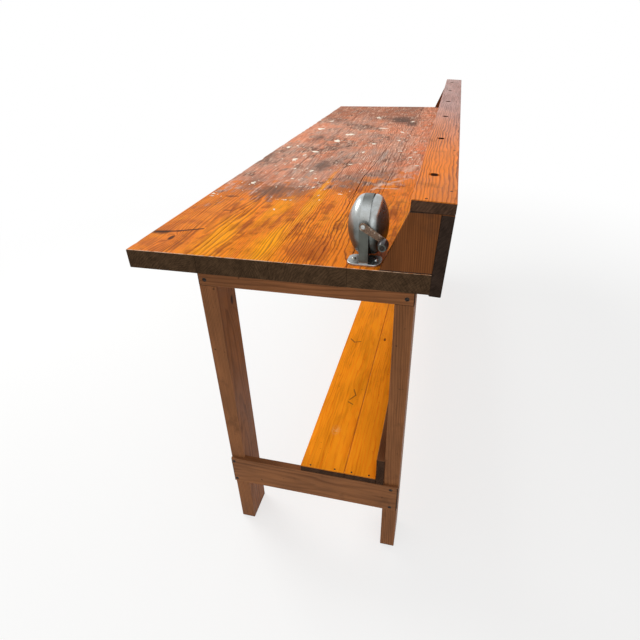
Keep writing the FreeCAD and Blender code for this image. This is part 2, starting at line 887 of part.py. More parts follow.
def crank_knob():
    """Barrel-shaped grip, bored for its pin, with a step at the outer end for the ferrule."""
    start = arm_front_along + knob_gap
    end = start + knob_length
    bore = knob_pin_diameter / 2 + shaft_clearance
    edges = [
        Part.LineSegment(Vector(bore, start, 0), Vector(knob_end_radius, start, 0)),
        Part.Arc(
            Vector(knob_end_radius, start, 0),
            Vector(knob_belly_radius, (start + end) / 2, 0),
            Vector(knob_end_radius, end, 0),
        ),
        Part.LineSegment(Vector(knob_end_radius, end, 0), Vector(bore, end, 0)),
        Part.LineSegment(Vector(bore, end, 0), Vector(bore, start, 0)),
    ]
    face = Part.Face(Part.Wire([edge.toShape() for edge in edges]))
    return aim(face.revolve(Vector(0, 0, 0), BACK, 360), knob_centre, RIGHT)


def knob_pin():
    """Rivet through the arm, with its head inside the ferrule."""
    head_start = arm_front_along + knob_gap + knob_length + spigot_gap
    pin = knob_pin_diameter / 2
    head = knob_pin_head / 2
    outline = [
        (0, arm_back_along),
        (pin, arm_back_along),
        (pin, head_start),
        (head, head_start),
        (head, head_start + knob_pin_head_depth),
        (0, head_start + knob_pin_head_depth),
    ]
    return turned(outline, knob_centre, RIGHT)


# Gearing. The cutters' axes meet the crank's axis at the apex, and every tooth tapers towards it.
tilt = math.radians(cutter_angle)
cutter_start = (cutter_radius + cutter_tip_gap / 2) / math.sin(tilt)
apex_along = cutter_end_along + cutter_start * math.cos(tilt)
pinion_cone = math.atan(math.sin(tilt) / (ring_teeth / pinion_teeth - math.cos(tilt)))
ring_cone = tilt + pinion_cone
pinion_start = cutter_start - pinion_near_gap
ring_start_along = gear_end_along - ring_length
carrier_near_radius = ring_bore_radius - carrier_ring_gap
carrier_bar_inner = cutter_radius + carrier_bar_gap
carrier_bar_outer = carrier_bar_inner + carrier_bar_thickness
carrier_near_along = (
    apex_along - (pinion_start - carrier_gap) * math.cos(tilt) + cutter_radius * math.sin(tilt)
)


def toothed_wire(teeth, foot, top, shares, distance, turn):
    """Closed outline of straight-sided teeth round +Y, at a distance along it, turned by turn."""
    pitch = 2 * math.pi / teeth
    base_share, tip_share = shares
    corners = []
    for index in range(teeth):
        middle = turn + index * pitch
        for radius, share in ((foot, -base_share), (top, -tip_share), (top, tip_share), (foot, base_share)):
            angle = middle + share * pitch / 2
            corners.append(Vector(radius * math.cos(angle), distance, radius * math.sin(angle)))
    return Part.makePolygon(corners + corners[:1])


def tapered_teeth(teeth, cone, foot_share, top_share, shares, start, end):
    """Toothed body between two distances from the apex, growing in proportion to the distance."""
    wires = []
    for distance in (start, end):
        radius = distance * math.tan(cone)
        wires.append(toothed_wire(
            teeth, radius * foot_share, radius * top_share, shares, distance, math.pi / 2,
        ))
    return Part.makeLoft(wires, True, True)


def ring_gear():
    """Internal bevel gear on the casting's flange, plain behind its teeth."""
    blank = ring(flange_radius, 0, ring_start_along, gear_end_along, crank_centre, RIGHT)
    teeth_end = ring_start_along + ring_tooth_width
    blank = blank.cut(ring(
        ring_bore_radius, 0, teeth_end, gear_end_along + overrun, crank_centre, RIGHT,
    ))
    apex = crank_centre + RIGHT * apex_along
    near = apex_along - teeth_end - overrun
    far = apex_along - ring_start_along + overrun
    space = tapered_teeth(
        ring_teeth, ring_cone, 1 - ring_top_share, 1 + ring_root_share,
        (space_base_share, space_tip_share), near, far,
    )
    return blank.cut(aim(space, apex, RIGHT * -1))


def cutter_axis(side):
    """Direction from the apex along the upper (side 1) or lower (side -1) cutter."""
    return Vector(-math.cos(tilt), 0, side * math.sin(tilt))


def cutter(side):
    """Fluted cutter with its pinion, bored for its pin."""
    wires = []
    for index in range(cutter_sections):
        share = index / (cutter_sections - 1)
        turn = math.radians(cutter_twist) * share
        wires.append(toothed_wire(
            cutter_teeth, cutter_radius * cutter_tooth_share, cutter_radius,
            (tooth_base_share, tooth_tip_share), cutter_start + cutter_length * share, turn,
        ))
    body = Part.makeLoft(wires, True, True)
    foot = 1 - tooth_root_share
    pinion = tapered_teeth(
        pinion_teeth, pinion_cone, foot, 1 + tooth_top_share,
        (tooth_base_share, tooth_tip_share), pinion_start, pinion_start + pinion_width,
    )
    neck_radius = pinion_start * math.tan(pinion_cone) * foot
    neck = turned([
        (0, pinion_start), (neck_radius, pinion_start),
        (neck_radius, cutter_start + overrun), (0, cutter_start + overrun),
    ])
    bore = turned([
        (0, pinion_start - overrun),
        (cutter_pin_diameter / 2 + cutter_bore_clearance, pinion_start - overrun),
        (cutter_pin_diameter / 2 + cutter_bore_clearance, cutter_start + cutter_length + overrun),
        (0, cutter_start + cutter_length + overrun),
    ])
    solid = body.fuse([pinion, neck]).cut(bore)
    return place_on_cutter_axis(solid, side)


def place_on_cutter_axis(solid, side):
    """Put a solid modelled along +Y from the apex on a cutter's axis, its own +Z facing outwards."""
    along = cutter_axis(side)
    out = Vector(math.sin(tilt), 0, side * math.cos(tilt))
    third = along.cross(out)
    apex = crank_centre + RIGHT * apex_along
    matrix = Matrix(
        third.x, along.x, out.x, apex.x,
        third.y, along.y, out.y, apex.y,
        third.z, along.z, out.z, apex.z,
        0, 0, 0, 1,
    )
    return solid.transformed(matrix, copy=True)


def along_to_distance(along):
    """Distance from the apex, on a cutter's axis, of a place along the crank's axis."""
    return (apex_along - along) / math.cos(tilt)


far_disc_along = (
    apex_along - (cutter_start + cutter_length) * math.cos(tilt)
    - cutter_radius * math.sin(tilt) - carrier_gap
)


def cutter_pin(side, gap):
    """Rod that a cutter turns on, from inside the near disc to the far disc's outer face."""
    start = along_to_distance(carrier_near_along + cutter_pin_depth)
    end = along_to_distance(far_disc_along - carrier_disc_thickness) - cutter_pin_diameter / 4
    if gap:
        start -= gap
        end += overrun
    radius = cutter_pin_diameter / 2 + gap
    rod = turned([(0, start), (radius, start), (radius, end), (0, end)])
    return place_on_cutter_axis(rod, side)


def cutter_carrier():
    """Crankshaft in one piece with the cage that carries the cutters round."""
    near_end = carrier_near_along + carrier_disc_thickness
    far_end = far_disc_along - carrier_disc_thickness
    shaft = shaft_diameter / 2
    cage = ring(carrier_near_radius, 0, carrier_near_along, near_end, crank_centre, RIGHT)
    cage = cage.fuse([
        ring(shaft, 0, near_end - overrun / 2, arm_back_along, crank_centre, RIGHT),
        ring(arm_seat_diameter / 2, 0, arm_back_along - overrun, arm_front_along, crank_centre, RIGHT),
        ring(carrier_far_radius, 0, far_end, far_disc_along, crank_centre, RIGHT),
    ])
    for side in (-1, 1):
        edges = sorted((side * carrier_bar_inner, side * carrier_bar_outer))
        bar = box(
            (crank_centre.x + far_end, crank_centre.y + edges[0], crank_centre.z - carrier_bar_width / 2),
            (crank_centre.x + near_end, crank_centre.y + edges[1], crank_centre.z + carrier_bar_width / 2),
        )
        cage = cage.fuse(bar).cut(cutter_pin(side, fit_gap))
    cage = cage.cut(ring(
        carrier_hole_diameter / 2, 0, far_end - overrun, far_disc_along + overrun, crank_centre, RIGHT,
    ))
    tapped = ring(
        arm_screw_shank / 2 + fit_gap, 0, arm_front_along - arm_screw_length - fit_gap,
        arm_front_along + overrun, crank_centre, RIGHT,
    )
    return cage.cut(tapped).removeSplitter()


def pencil_guide():
    """Flanged tube that the pencil is pushed through, in the boss at the far side of the hoop."""
    face = -hoop_radius - inlet_boss_height
    end = far_disc_along - carrier_disc_thickness - carrier_gap
    tube, bore, flange = guide_diameter / 2, guide_bore_diameter / 2, guide_flange_diameter / 2
    outline = [
        (bore, face - guide_flange_thickness),
        (flange, face - guide_flange_thickness),
        (flange, face),
        (tube, face),
        (tube, end),
        (bore, end),
    ]
    return turned(outline, crank_centre, RIGHT)


def make_sharpener(parts):
    parts["sharpener_frame"] = sharpener_frame()
    parts["sharpener_front_shell"] = front_shell()
    parts["shavings_cover"] = lipped_shell(parting_gap)
    parts["crank_bush"] = ring(
        bush_diameter / 2, shaft_diameter / 2 + shaft_clearance, gear_end_along, boss_face_along,
        crank_centre, RIGHT,
    )
    parts["ring_gear"] = ring_gear()
    parts["pencil_guide"] = pencil_guide()
    parts["cutter_carrier"] = cutter_carrier()
    parts["upper_cutter"] = cutter(1)
    parts["lower_cutter"] = cutter(-1)
    parts["cutter_pins"] = Part.makeCompound([cutter_pin(side, 0) for side in (-1, 1)])
    parts["crank_arm"] = crank_arm()
    parts["crank_screw"] = domed_screw(
        arm_screw_head, arm_screw_dome, arm_screw_shank, arm_screw_length,
        crank_centre + RIGHT * arm_front_along, RIGHT * -1,
    )
    parts["knob_pin"] = knob_pin()
    parts["crank_knob"] = crank_knob()
    ferrule_start = arm_front_along + knob_gap + knob_length
    parts["knob_ferrule"] = ring(
        ferrule_outer / 2, ferrule_inner / 2, ferrule_start, ferrule_start + ferrule_depth,
        knob_centre, RIGHT,
    )
    screws = []
    boards = [f"top_board_{index + 1}" for index in range(top_board_count)]
    for point in base_screw_points():
        screws.append(domed_screw(
            base_screw_head, base_screw_dome, base_screw_shank, base_screw_length, point, UP * -1,
        ))
        start = point - UP * (base_screw_length + fit_gap)
        hole = Part.makeCylinder(base_screw_shank / 2 + fit_gap, base_screw_length, start)
        for node in boards:
            if parts[node].BoundBox.intersect(hole.BoundBox):
                parts[node] = parts[node].cut(hole)
    parts["base_screws"] = Part.makeCompound(screws)


def overall_middle(parts):
    """Point on the floor under the middle of everything, which becomes the origin."""
    reach = Part.makeCompound(list(parts.values())).optimalBoundingBox(False)
    return Vector((reach.XMin + reach.XMax) / 2, (reach.YMin + reach.YMax) / 2, 0)


def main():
    parts = {}
    make_top(parts)
    make_legs(parts)
    make_end_rails(parts)
    make_long_members(parts)
    make_battens(parts)
    make_back(parts)
    make_gussets(parts)
    make_bench_fasteners(parts)
    make_sharpener(parts)
    middle = overall_middle(parts)
    print("origin", middle)
    os.makedirs("parts", exist_ok=True)
    for name, solid in parts.items():
        solid.translate(middle * -1)
        solid.exportStep(f"parts/{name}.step")
    print(len(parts), "parts")


main()
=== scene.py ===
import json
import math
from dataclasses import dataclass, field

import bpy
import numpy as np
from bpy.props import FloatProperty, FloatVectorProperty, IntProperty, PointerProperty
from bpy.types import Operator, Panel, PropertyGroup
from mathutils import Matrix, Vector


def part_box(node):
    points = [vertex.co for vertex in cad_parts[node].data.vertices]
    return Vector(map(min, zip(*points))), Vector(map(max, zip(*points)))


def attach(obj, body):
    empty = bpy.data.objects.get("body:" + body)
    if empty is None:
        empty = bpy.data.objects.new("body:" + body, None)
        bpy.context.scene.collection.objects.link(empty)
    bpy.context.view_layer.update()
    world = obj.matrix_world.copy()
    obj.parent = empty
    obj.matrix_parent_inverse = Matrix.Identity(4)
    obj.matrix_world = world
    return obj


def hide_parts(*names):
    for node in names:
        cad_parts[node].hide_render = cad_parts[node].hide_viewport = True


bl_info = {
    "name": "Carpenter's workbench",
    "version": (1, 0, 0),
    "blender": (4, 5, 0),
    "location": "3D Viewport > Sidebar > Workbench",
    "description": "Dresses a packed workbench with worn boards, varnish, paint drops and a plain stage",
    "category": "Object",
}

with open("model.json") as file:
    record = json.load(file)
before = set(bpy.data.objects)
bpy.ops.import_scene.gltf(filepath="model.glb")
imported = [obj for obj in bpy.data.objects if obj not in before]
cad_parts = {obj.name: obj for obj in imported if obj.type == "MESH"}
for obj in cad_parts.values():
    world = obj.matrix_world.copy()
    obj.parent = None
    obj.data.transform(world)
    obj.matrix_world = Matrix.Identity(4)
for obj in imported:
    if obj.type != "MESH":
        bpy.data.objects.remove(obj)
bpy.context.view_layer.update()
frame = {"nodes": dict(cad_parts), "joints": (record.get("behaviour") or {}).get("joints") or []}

TOP_BOARDS = [f"top_board_{place}" for place in range(1, 5)]
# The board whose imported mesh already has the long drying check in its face
CHECKED_BOARD = "top_board_3"
LEGS = ["front_right_leg", "front_left_leg", "back_right_leg", "back_left_leg"]
END_RAILS = ["right_end_rail", "left_end_rail"]
STRETCHERS = ["right_end_stretcher", "left_end_stretcher"]
SHELF_BOARDS = ["front_shelf_board", "back_shelf_board"]
APRONS = ["front_apron", "back_apron"]
BATTENS = [f"top_batten_{place}" for place in range(1, 6)]
GUSSETS = ["right_gusset", "left_gusset"]
DARK_SCREWS = [
    "end_rail_screws", "stretcher_screws", "apron_screws", "batten_screws", "shelf_nails",
    "rear_rail_screws", "back_board_screws", "gusset_screws", "tool_shelf_nails",
]
CAST_PARTS = ["sharpener_frame", "knob_ferrule"]
SHELLS = ["sharpener_front_shell", "shavings_cover"]
BRIGHT_PARTS = ["crank_screw", "base_screws", "pencil_guide"]
GEARING = ["ring_gear", "cutter_carrier", "upper_cutter", "lower_cutter", "cutter_pins"]

RIGHT_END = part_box("top_board_1")[1].x
FRONT_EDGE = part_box("top_board_1")[0].y
TOP_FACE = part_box("top_board_1")[1].z
CRANK_HEIGHT = next(joint for joint in frame["joints"] if joint["name"] == "crank_spin")["pos_m"][2]


def linear(red, green, blue):
    """Scene-linear colour of an sRGB colour given in steps of 0 to 255."""
    shares = [step / 255 for step in (red, green, blue)]
    return tuple(s / 12.92 if s <= 0.04045 else ((s + 0.055) / 1.055) ** 2.4 for s in shares)


WHITE = (1.0, 1.0, 1.0, 1.0)


# Sockets and nodes

# Outputs of a Texture Coordinate node, by their order
NORMAL_OUTPUT = 1
OBJECT_OUTPUT = 3


def arithmetic(operation, swapped=False):
    """Method that adds a Math node for a value and what stands beside it."""
    def combined(self, other):
        values = (other, self) if swapped else (self, other)
        return self.paint.math(operation, *values)

    return combined


class Value:
    """One output socket of a material's or the world's nodes. Arithmetic on it adds Math nodes there."""

    def __init__(self, paint, socket):
        self.paint = paint
        self.socket = socket

    def __abs__(self):
        return self.paint.math("ABSOLUTE", self)

    __add__ = arithmetic("ADD")
    __radd__ = arithmetic("ADD", swapped=True)
    __sub__ = arithmetic("SUBTRACT")
    __rsub__ = arithmetic("SUBTRACT", swapped=True)
    __mul__ = arithmetic("MULTIPLY")
    __rmul__ = arithmetic("MULTIPLY", swapped=True)
    __truediv__ = arithmetic("DIVIDE")
    __pow__ = arithmetic("POWER")


class Paint:
    """Node tree of one material or world, and the few calls that the finishes are written in."""

    def __init__(self, owner):
        self.owner = owner
        owner.use_nodes = True
        self.tree = owner.node_tree
        self.tree.nodes.clear()
        self.made = {}

    @classmethod
    def named(cls, name):
        """Paint of a new material."""
        return cls(bpy.data.materials.new(name))

    def add(self, kind, settings=None, values=None, output=0):
        """Outputs of a node with these settings, and these values or links of its sockets.

        A node that the material already has is used again. Returns one output, or the list of all.
        """
        recipe = (kind, tuple((settings or {}).items()), tuple((values or {}).items()))
        if recipe not in self.made:
            self.made[recipe] = self.new_node(kind, settings or {}, values or {})
        found = self.made[recipe]
        return found[output] if output is not None and found else found

    def new_node(self, kind, settings, values):
        node = self.tree.nodes.new(f"ShaderNode{kind}")
        for key, setting in settings.items():
            if getattr(node, key) != setting:
                setattr(node, key, setting)
        for key, value in values.items():
            if isinstance(value, Value):
                self.tree.links.new(value.socket, node.inputs[key])
            else:
                node.inputs[key].default_value = value
        return [Value(self, socket) for socket in node.outputs]

    def math(self, operation, *values):
        return self.add("Math", {"operation": operation}, dict(enumerate(values)))

    def larger(self, first, second):
        return self.math("MAXIMUM", first, second)

    def smaller(self, first, second):
        return self.math("MINIMUM", first, second)

    def rise(self, value, low, high):
        """Smooth step from 0 below low to 1 above high."""
        values = {"Value": value, "From Min": low, "From Max": high}
        return self.add("MapRange", {"interpolation_type": "SMOOTHSTEP"}, values)

    def fall(self, value, low, high):
        """Smooth step from 1 below low to 0 above high."""
        return 1.0 - self.rise(value, low, high)

    def band(self, value, low, full, falling, high):
        """0 up to low, a smooth step up to full, 1 up to falling, and a smooth step down to high."""
        return self.rise(value, low, full) * self.fall(value, falling, high)

    def spread(self, noise):
        """Noise, which keeps near its middle, spread over 0 to 1."""
        return self.rise(noise, 0.34, 0.66)

    def clouds(self, vector, scale, detail, roughness=0.6):
        return self.spread(self.noise(vector, scale, detail, roughness))

    def place(self):
        """The three Object coordinates, in metres, which are the bench's own."""
        held = self.add("TexCoord", output=OBJECT_OUTPUT)
        return self.add("SeparateXYZ", values={0: held}, output=None)

    def point(self):
        """The same place as one vector."""
        return self.vector(*self.place())

    def facing(self):
        """The three parts of the surface's own normal."""
        normal = self.add("TexCoord", output=NORMAL_OUTPUT)
        return self.add("SeparateXYZ", values={0: normal}, output=None)

    def vector(self, x, y, z):
        return self.add("CombineXYZ", values={0: x, 1: y, 2: z})

    def noise(self, vector, scale, detail=2.0, roughness=0.5):
        values = {"Vector": vector, "Scale": scale, "Detail": detail, "Roughness": roughness}
        return self.add("TexNoise", values=values)

    def mix(self, factor, first, second, blend="MIX"):
        """Blend of two colours."""
        values = {0: factor, 6: rgba(first), 7: rgba(second)}
        return self.add("Mix", {"data_type": "RGBA", "blend_type": blend}, values, output=2)

    def shade(self, colour, amount):
        """Colour made lighter or darker by a varying amount, where 1 leaves it as it is."""
        grey = self.vector(amount, amount, amount)
        return self.mix(1.0, colour, grey, "MULTIPLY")

    def bump(self, height, strength, distance):
        return self.add("Bump", values={"Strength": strength, "Distance": distance, "Height": height})

    def surface(self, **sockets):
        """Principled surface from socket values named with underscores, linked to the output."""
        values = {key.replace("_", " "): value for key, value in sockets.items()}
        values["Base Color"] = rgba(values["Base Color"])
        shader = self.add("BsdfPrincipled", values=values)
        self.add("OutputMaterial", values={"Surface": shader})
        return self.owner

    def looked_at(self):
        """1 where the camera sees this itself, also in a mirror or through glass, and 0 for its light."""
        path = self.add("LightPath", output=None)
        names = ("Is Camera Ray", "Is Glossy Ray", "Is Transmission Ray")
        seen = [value for value in path if value.socket.name in names]
        return self.larger(self.larger(seen[0], seen[1]), seen[2])


def rgba(colour):
    """Colour as a socket wants it: a link as it is, three numbers with an opaque fourth."""
    if isinstance(colour, Value):
        return colour
    return (*tuple(colour)[:3], 1.0)


# Wood

# How far from a board's end its end grain wraps round the arris, and how wide a worn arris is
END_WRAP = (0.0012, 0.0030)
ARRIS_WIDTH = 0.003


@dataclass
class Grain:
    """How a board was cut: where the middle of its tree lies from the board's middle, and its rings."""

    pith: tuple = (0.02, -0.07)
    drift: tuple = (0.010, 0.035)
    ring: float = 0.0046
    wander: float = 0.014
    ripple: float = 0.9
    ripple_run: float = 0.10
    show: float = 0.62
    thin: float = 0.30
    knots: list = field(default_factory=list)


class Board:
    """Grain, edges and end grain of one board, as values over its surface."""

    def __init__(self, paint, node, grain, seed):
        self.paint = paint
        low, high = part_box(node)
        middle = (low + high) / 2
        half = (high - low) / 2
        self.order = sorted(range(3), key=lambda axis: -half[axis])
        self.x, self.y, self.z = paint.place()
        self.flat = paint.point()
        self.away = RIGHT_END - self.x
        self.deep = self.y - FRONT_EDGE
        self.along, self.across, self.through = [paint.place()[axis] - middle[axis] for axis in self.order]
        self.half = [half[axis] for axis in self.order]
        self.shift = seed * 0.613
        self.show = grain.show
        self.rings(grain)
        self.fibre = paint.spread(self.streaks(0.03, 720.0))
        self.streak = paint.spread(self.streaks(0.06, 150.0))
        self.slow = self.streaks(0.30, 17.0)
        self.tone = paint.spread(self.slow)
        self.ends()

    def streaks(self, run, scale, detail=3.0, roughness=0.6):
        """Noise drawn out along the board: run is how many times slower it changes that way."""
        stretched = self.paint.vector(self.along * run + self.shift, self.across, self.through)
        return self.paint.noise(stretched, scale, detail, roughness)

    def rings(self, grain):
        """Rings are circles round the pith, whose place drifts and wanders along the board."""
        paint = self.paint
        far = paint.vector(self.along * 0.20 + self.shift, self.across * 0.7, self.through * 0.7)
        wander = (paint.noise(far, 9.0, 2.0) - 0.5) * (2 * grain.wander)
        side = self.across + self.along * grain.drift[0] + wander - grain.pith[0]
        deep = self.through + self.along * grain.drift[1] + wander - grain.pith[1]
        phase = paint.math("SQRT", side * side + deep * deep) / grain.ring
        phase = phase + (self.streaks(grain.ripple_run, 42.0, 2.0) - 0.5) * (2.4 * grain.ripple)
        phase = phase + (self.streaks(0.05, 15.0, 1.0) - 0.5) * 3.0
        self.knot = None
        for along, across, size in grain.knots:
            reach = paint.math("SQRT", ((self.along - along) * 0.45) ** 2.0 + (self.across - across) ** 2.0)
            phase = phase + paint.math("EXPONENT", reach / -(2.2 * size)) * 5.0
            core = paint.fall(reach, size * 0.55, size * 1.15)
            self.knot = core if self.knot is None else paint.larger(self.knot, core)
        turn = paint.math("FRACT", phase)
        line = paint.band(turn, grain.thin, 0.86, 0.93, 1.0)
        self.late = line * (0.35 + paint.spread(self.streaks(0.10, 34.0, 2.0)) * 0.65)

    def ends(self):
        """End grain shows where the surface faces along the board, worn arrises where two faces meet."""
        paint = self.paint
        facing = abs(paint.facing()[self.order[0]])
        lengths = [abs(self.along), abs(self.across), abs(self.through)]
        room = [self.half[axis] - lengths[axis] for axis in range(3)]
        up = paint.facing()[2] if self.order[0] != 2 else 0.0
        beside = paint.fall(room[0], *END_WRAP) * paint.fall(up, 0.15, 0.45)
        self.end = paint.larger(paint.rise(facing, 0.62, 0.85), beside)
        self.room = paint.larger(
            paint.smaller(room[0], room[1]),
            paint.smaller(paint.larger(room[0], room[1]), room[2]),
        )
        self.end_room = room[0]
        self.side_room = room[1]

    def edge(self, width):
        """1 on an arris, fading to 0 over about the width, broken up along it."""
        paint = self.paint
        broken = paint.noise(self.flat, 70.0, 3.0, 0.6)
        return paint.fall(self.room / width, broken * 0.6, broken * 2.0)


@dataclass
class Finish:
    """Colours and sheen of one kind of board."""

    early: tuple
    late: tuple
    end: tuple
    worn: tuple
    rough: float = 0.45
    coat: float = 0.06
    contrast: float = 0.6
    edge: float = 0.30
    dents: float = 1.0
    grime: float = 0.40


def end_grain(paint, board, colour):
    """Sawn end: dark rings, and faint slanting saw marks."""
    slant = paint.vector((board.y + board.z) * 0.15, (board.y - board.z), board.x)
    saw = paint.clouds(slant, 420.0, 2.0)
    cloud = paint.clouds(board.flat, 55.0, 3.0)
    dark = paint.mix(board.late * 0.60, colour, [0.45 * part for part in colour])
    return paint.shade(dark, 0.62 + saw * 0.46 + cloud * 0.36)


def plain_wood(node, finish, grain, seed, extra=None):
    """Oiled or varnished board: rings, fibres, darker end grain, worn arrises and a little grime."""
    paint = Paint.named(node)
    board = Board(paint, node, grain, seed)
    colour = paint.mix(board.late * finish.contrast, finish.early, finish.late)
    colour = paint.shade(colour, 0.74 + board.tone * 0.24 + board.streak * 0.16 + board.fibre * 0.12)
    if board.knot is not None:
        dark = [0.28 * part for part in finish.late]
        colour = paint.mix(board.knot, colour, dark)
    grime = paint.rise(paint.noise(board.flat, 12.0, 4.0, 0.65), 0.56, 0.74)
    colour = paint.mix(grime * finish.grime, colour, finish.end)
    dents = paint.rise(paint.noise(board.flat, 95.0, 2.0, 0.5), 0.70, 0.76) * finish.dents
    colour = paint.mix(dents * 0.55, colour, [0.35 * part for part in finish.end])
    edge = board.edge(ARRIS_WIDTH)
    if extra is not None:
        colour = extra(board, colour)
    colour = paint.mix(edge * finish.edge, colour, finish.worn)
    colour = paint.mix(board.end, colour, end_grain(paint, board, finish.end))
    rough = finish.rough + board.end * 0.25 + (board.tone - 0.5) * 0.18 + grime * 0.1
    height = board.late * 0.35 + board.fibre * 0.3 + board.streak * 0.25 - dents * 0.8
    return paint.surface(
        Base_Color=colour,
        Roughness=rough,
        Specular_IOR_Level=0.03,
        Coat_Weight=(1.0 - board.end) * finish.coat,
        Coat_Roughness=0.25,
        Normal=paint.bump(height, 0.45, 0.0006),
    )


def spot(board, along, deep, radius_along, radius_deep, ragged):
    """Blotch on the top at a place measured from its right end and front edge, with a ragged outline."""
    paint = board.paint
    first = (board.away - along) / radius_along
    second = (board.deep - deep) / radius_deep
    reach = paint.math("SQRT", first * first + second * second) + (ragged - 0.5) * 2.4
    return paint.fall(reach, 0.15, 1.25)


def stroke(board, start, end, width):
    """Straight mark on the top between two places measured from its right end and front edge."""
    paint = board.paint
    run = (end[0] - start[0], end[1] - start[1])
    length = math.hypot(*run)
    unit = (run[0] / length, run[1] / length)
    first = board.away - start[0]
    second = board.deep - start[1]
    along = first * unit[0] + second * unit[1]
    held = paint.smaller(paint.larger(along, 0.0), length)
    off_first = first - held * unit[0]
    off_second = second - held * unit[1]
    reach = paint.math("SQRT", off_first * off_first + off_second * off_second)
    return paint.fall(reach, width * 0.35, width)


def broken_stroke(board, start, end, width, ragged):
    """Stroke that skips here and there, as a dry rub does."""
    return stroke(board, start, end, width) * (0.30 + board.paint.rise(ragged, 0.40, 0.56) * 0.70)


def marked(board, colour, over, shape, marks, *ragged):
    """Colour with marks of another over it. A mark is its shape's own numbers, then its strength."""
    for *place, strength in marks:
        colour = board.paint.mix(shape(board, *place, *ragged) * strength, colour, over)
    return colour


def specks(paint, vector, scale, size, share, bend):
    """Scattered flecks: one per cell, of random size, kept only in a share of the cells."""
    bent = paint.add("VectorMath", {"operation": "ADD"}, {0: vector, 1: bend})
    distance, colour = paint.add("TexVoronoi", values={"Vector": bent, "Scale": scale}, output=None)[:2]
    chance = paint.add("SeparateColor", values={0: colour}, output=None)
    keep = paint.rise(share - chance[0], 0.0, 0.01) * (0.35 + chance[2] * 0.65)
    reach = chance[1] * size + 0.25 * size
    return keep * paint.fall(distance / reach, 0.75, 1.0)


def varnished(board, look, noises):
    """Kept varnish: bright orange streaks, brown handled patches and dark grain lines."""
    paint = board.paint
    broad, middle, long, fine = noises
    glow = paint.spread(long) * paint.spread(broad)
    colour = paint.mix(glow * 0.6, look.varnish, look.varnish_bright)
    colour = paint.mix(paint.spread(fine) * 0.40, colour, look.varnish_dark)
    brown = paint.rise(long * 0.6 + middle * 0.5, 0.54, 0.66)
    colour = paint.mix(brown * 0.72, colour, look.varnish_brown)
    clouds = paint.noise(paint.vector(board.x * 0.5, board.y, board.z + 5.0), 15.0, 5.0, 0.66)
    colour = paint.mix(paint.rise(clouds, 0.50, 0.62) * 0.55, colour, look.varnish_brown)
    film = paint.fall(board.deep, *FILM_FADE) * (0.20 + paint.spread(middle) * 0.45)
    colour = paint.mix(film, colour, look.film)
    colour = marked(board, colour, look.varnish_bright, spot, BRIGHT_STREAKS, long)
    colour = paint.mix(board.late * board.show, colour, look.varnish_late)
    return paint.shade(colour, 0.80 + board.fibre * 0.20 + paint.spread(fine) * 0.22)


def bare_worn(board, look, noises):
    """Worn wood: grey, brown and orange clouds, dark stains, pale rubbed streaks, redder at the back."""
    paint = board.paint
    broad, middle, long, fine = noises
    clouds = paint.noise(paint.vector(board.x * 0.55, board.y, board.z + 3.0), 9.0, 5.0, 0.62)
    warm = paint.spread(clouds)
    colour = paint.mix(paint.spread(long), look.worn_grey, look.worn_brown)
    back = paint.rise(board.deep + (middle - 0.5) * 0.05, *ORANGE_BACK)
    colour = paint.mix(paint.larger(warm * 0.50, back * (0.45 + warm * 0.45)), colour, look.worn_orange)
    far = paint.rise(board.away + (broad - 0.5) * 0.6, *DARK_END) * (1.0 - back * 0.8)
    colour = paint.mix(far * 0.70, colour, look.worn_far)
    stain = paint.rise(broad * 0.55 + middle * 0.55 + (long - 0.5) * 0.35, 0.53, 0.66)
    colour = paint.mix(stain * (0.86 - back * 0.5), colour, look.grime)
    rub = paint.spread(fine) * paint.rise(middle * 0.6 + long * 0.5 + back * 0.04, 0.50, 0.64)
    colour = paint.mix(rub * 0.72, colour, look.scuff)
    colour = paint.mix(board.late * (board.show * 0.75), colour, look.worn_late)
    return paint.shade(colour, 0.74 + paint.spread(fine) * 0.30 + board.fibre * 0.20)


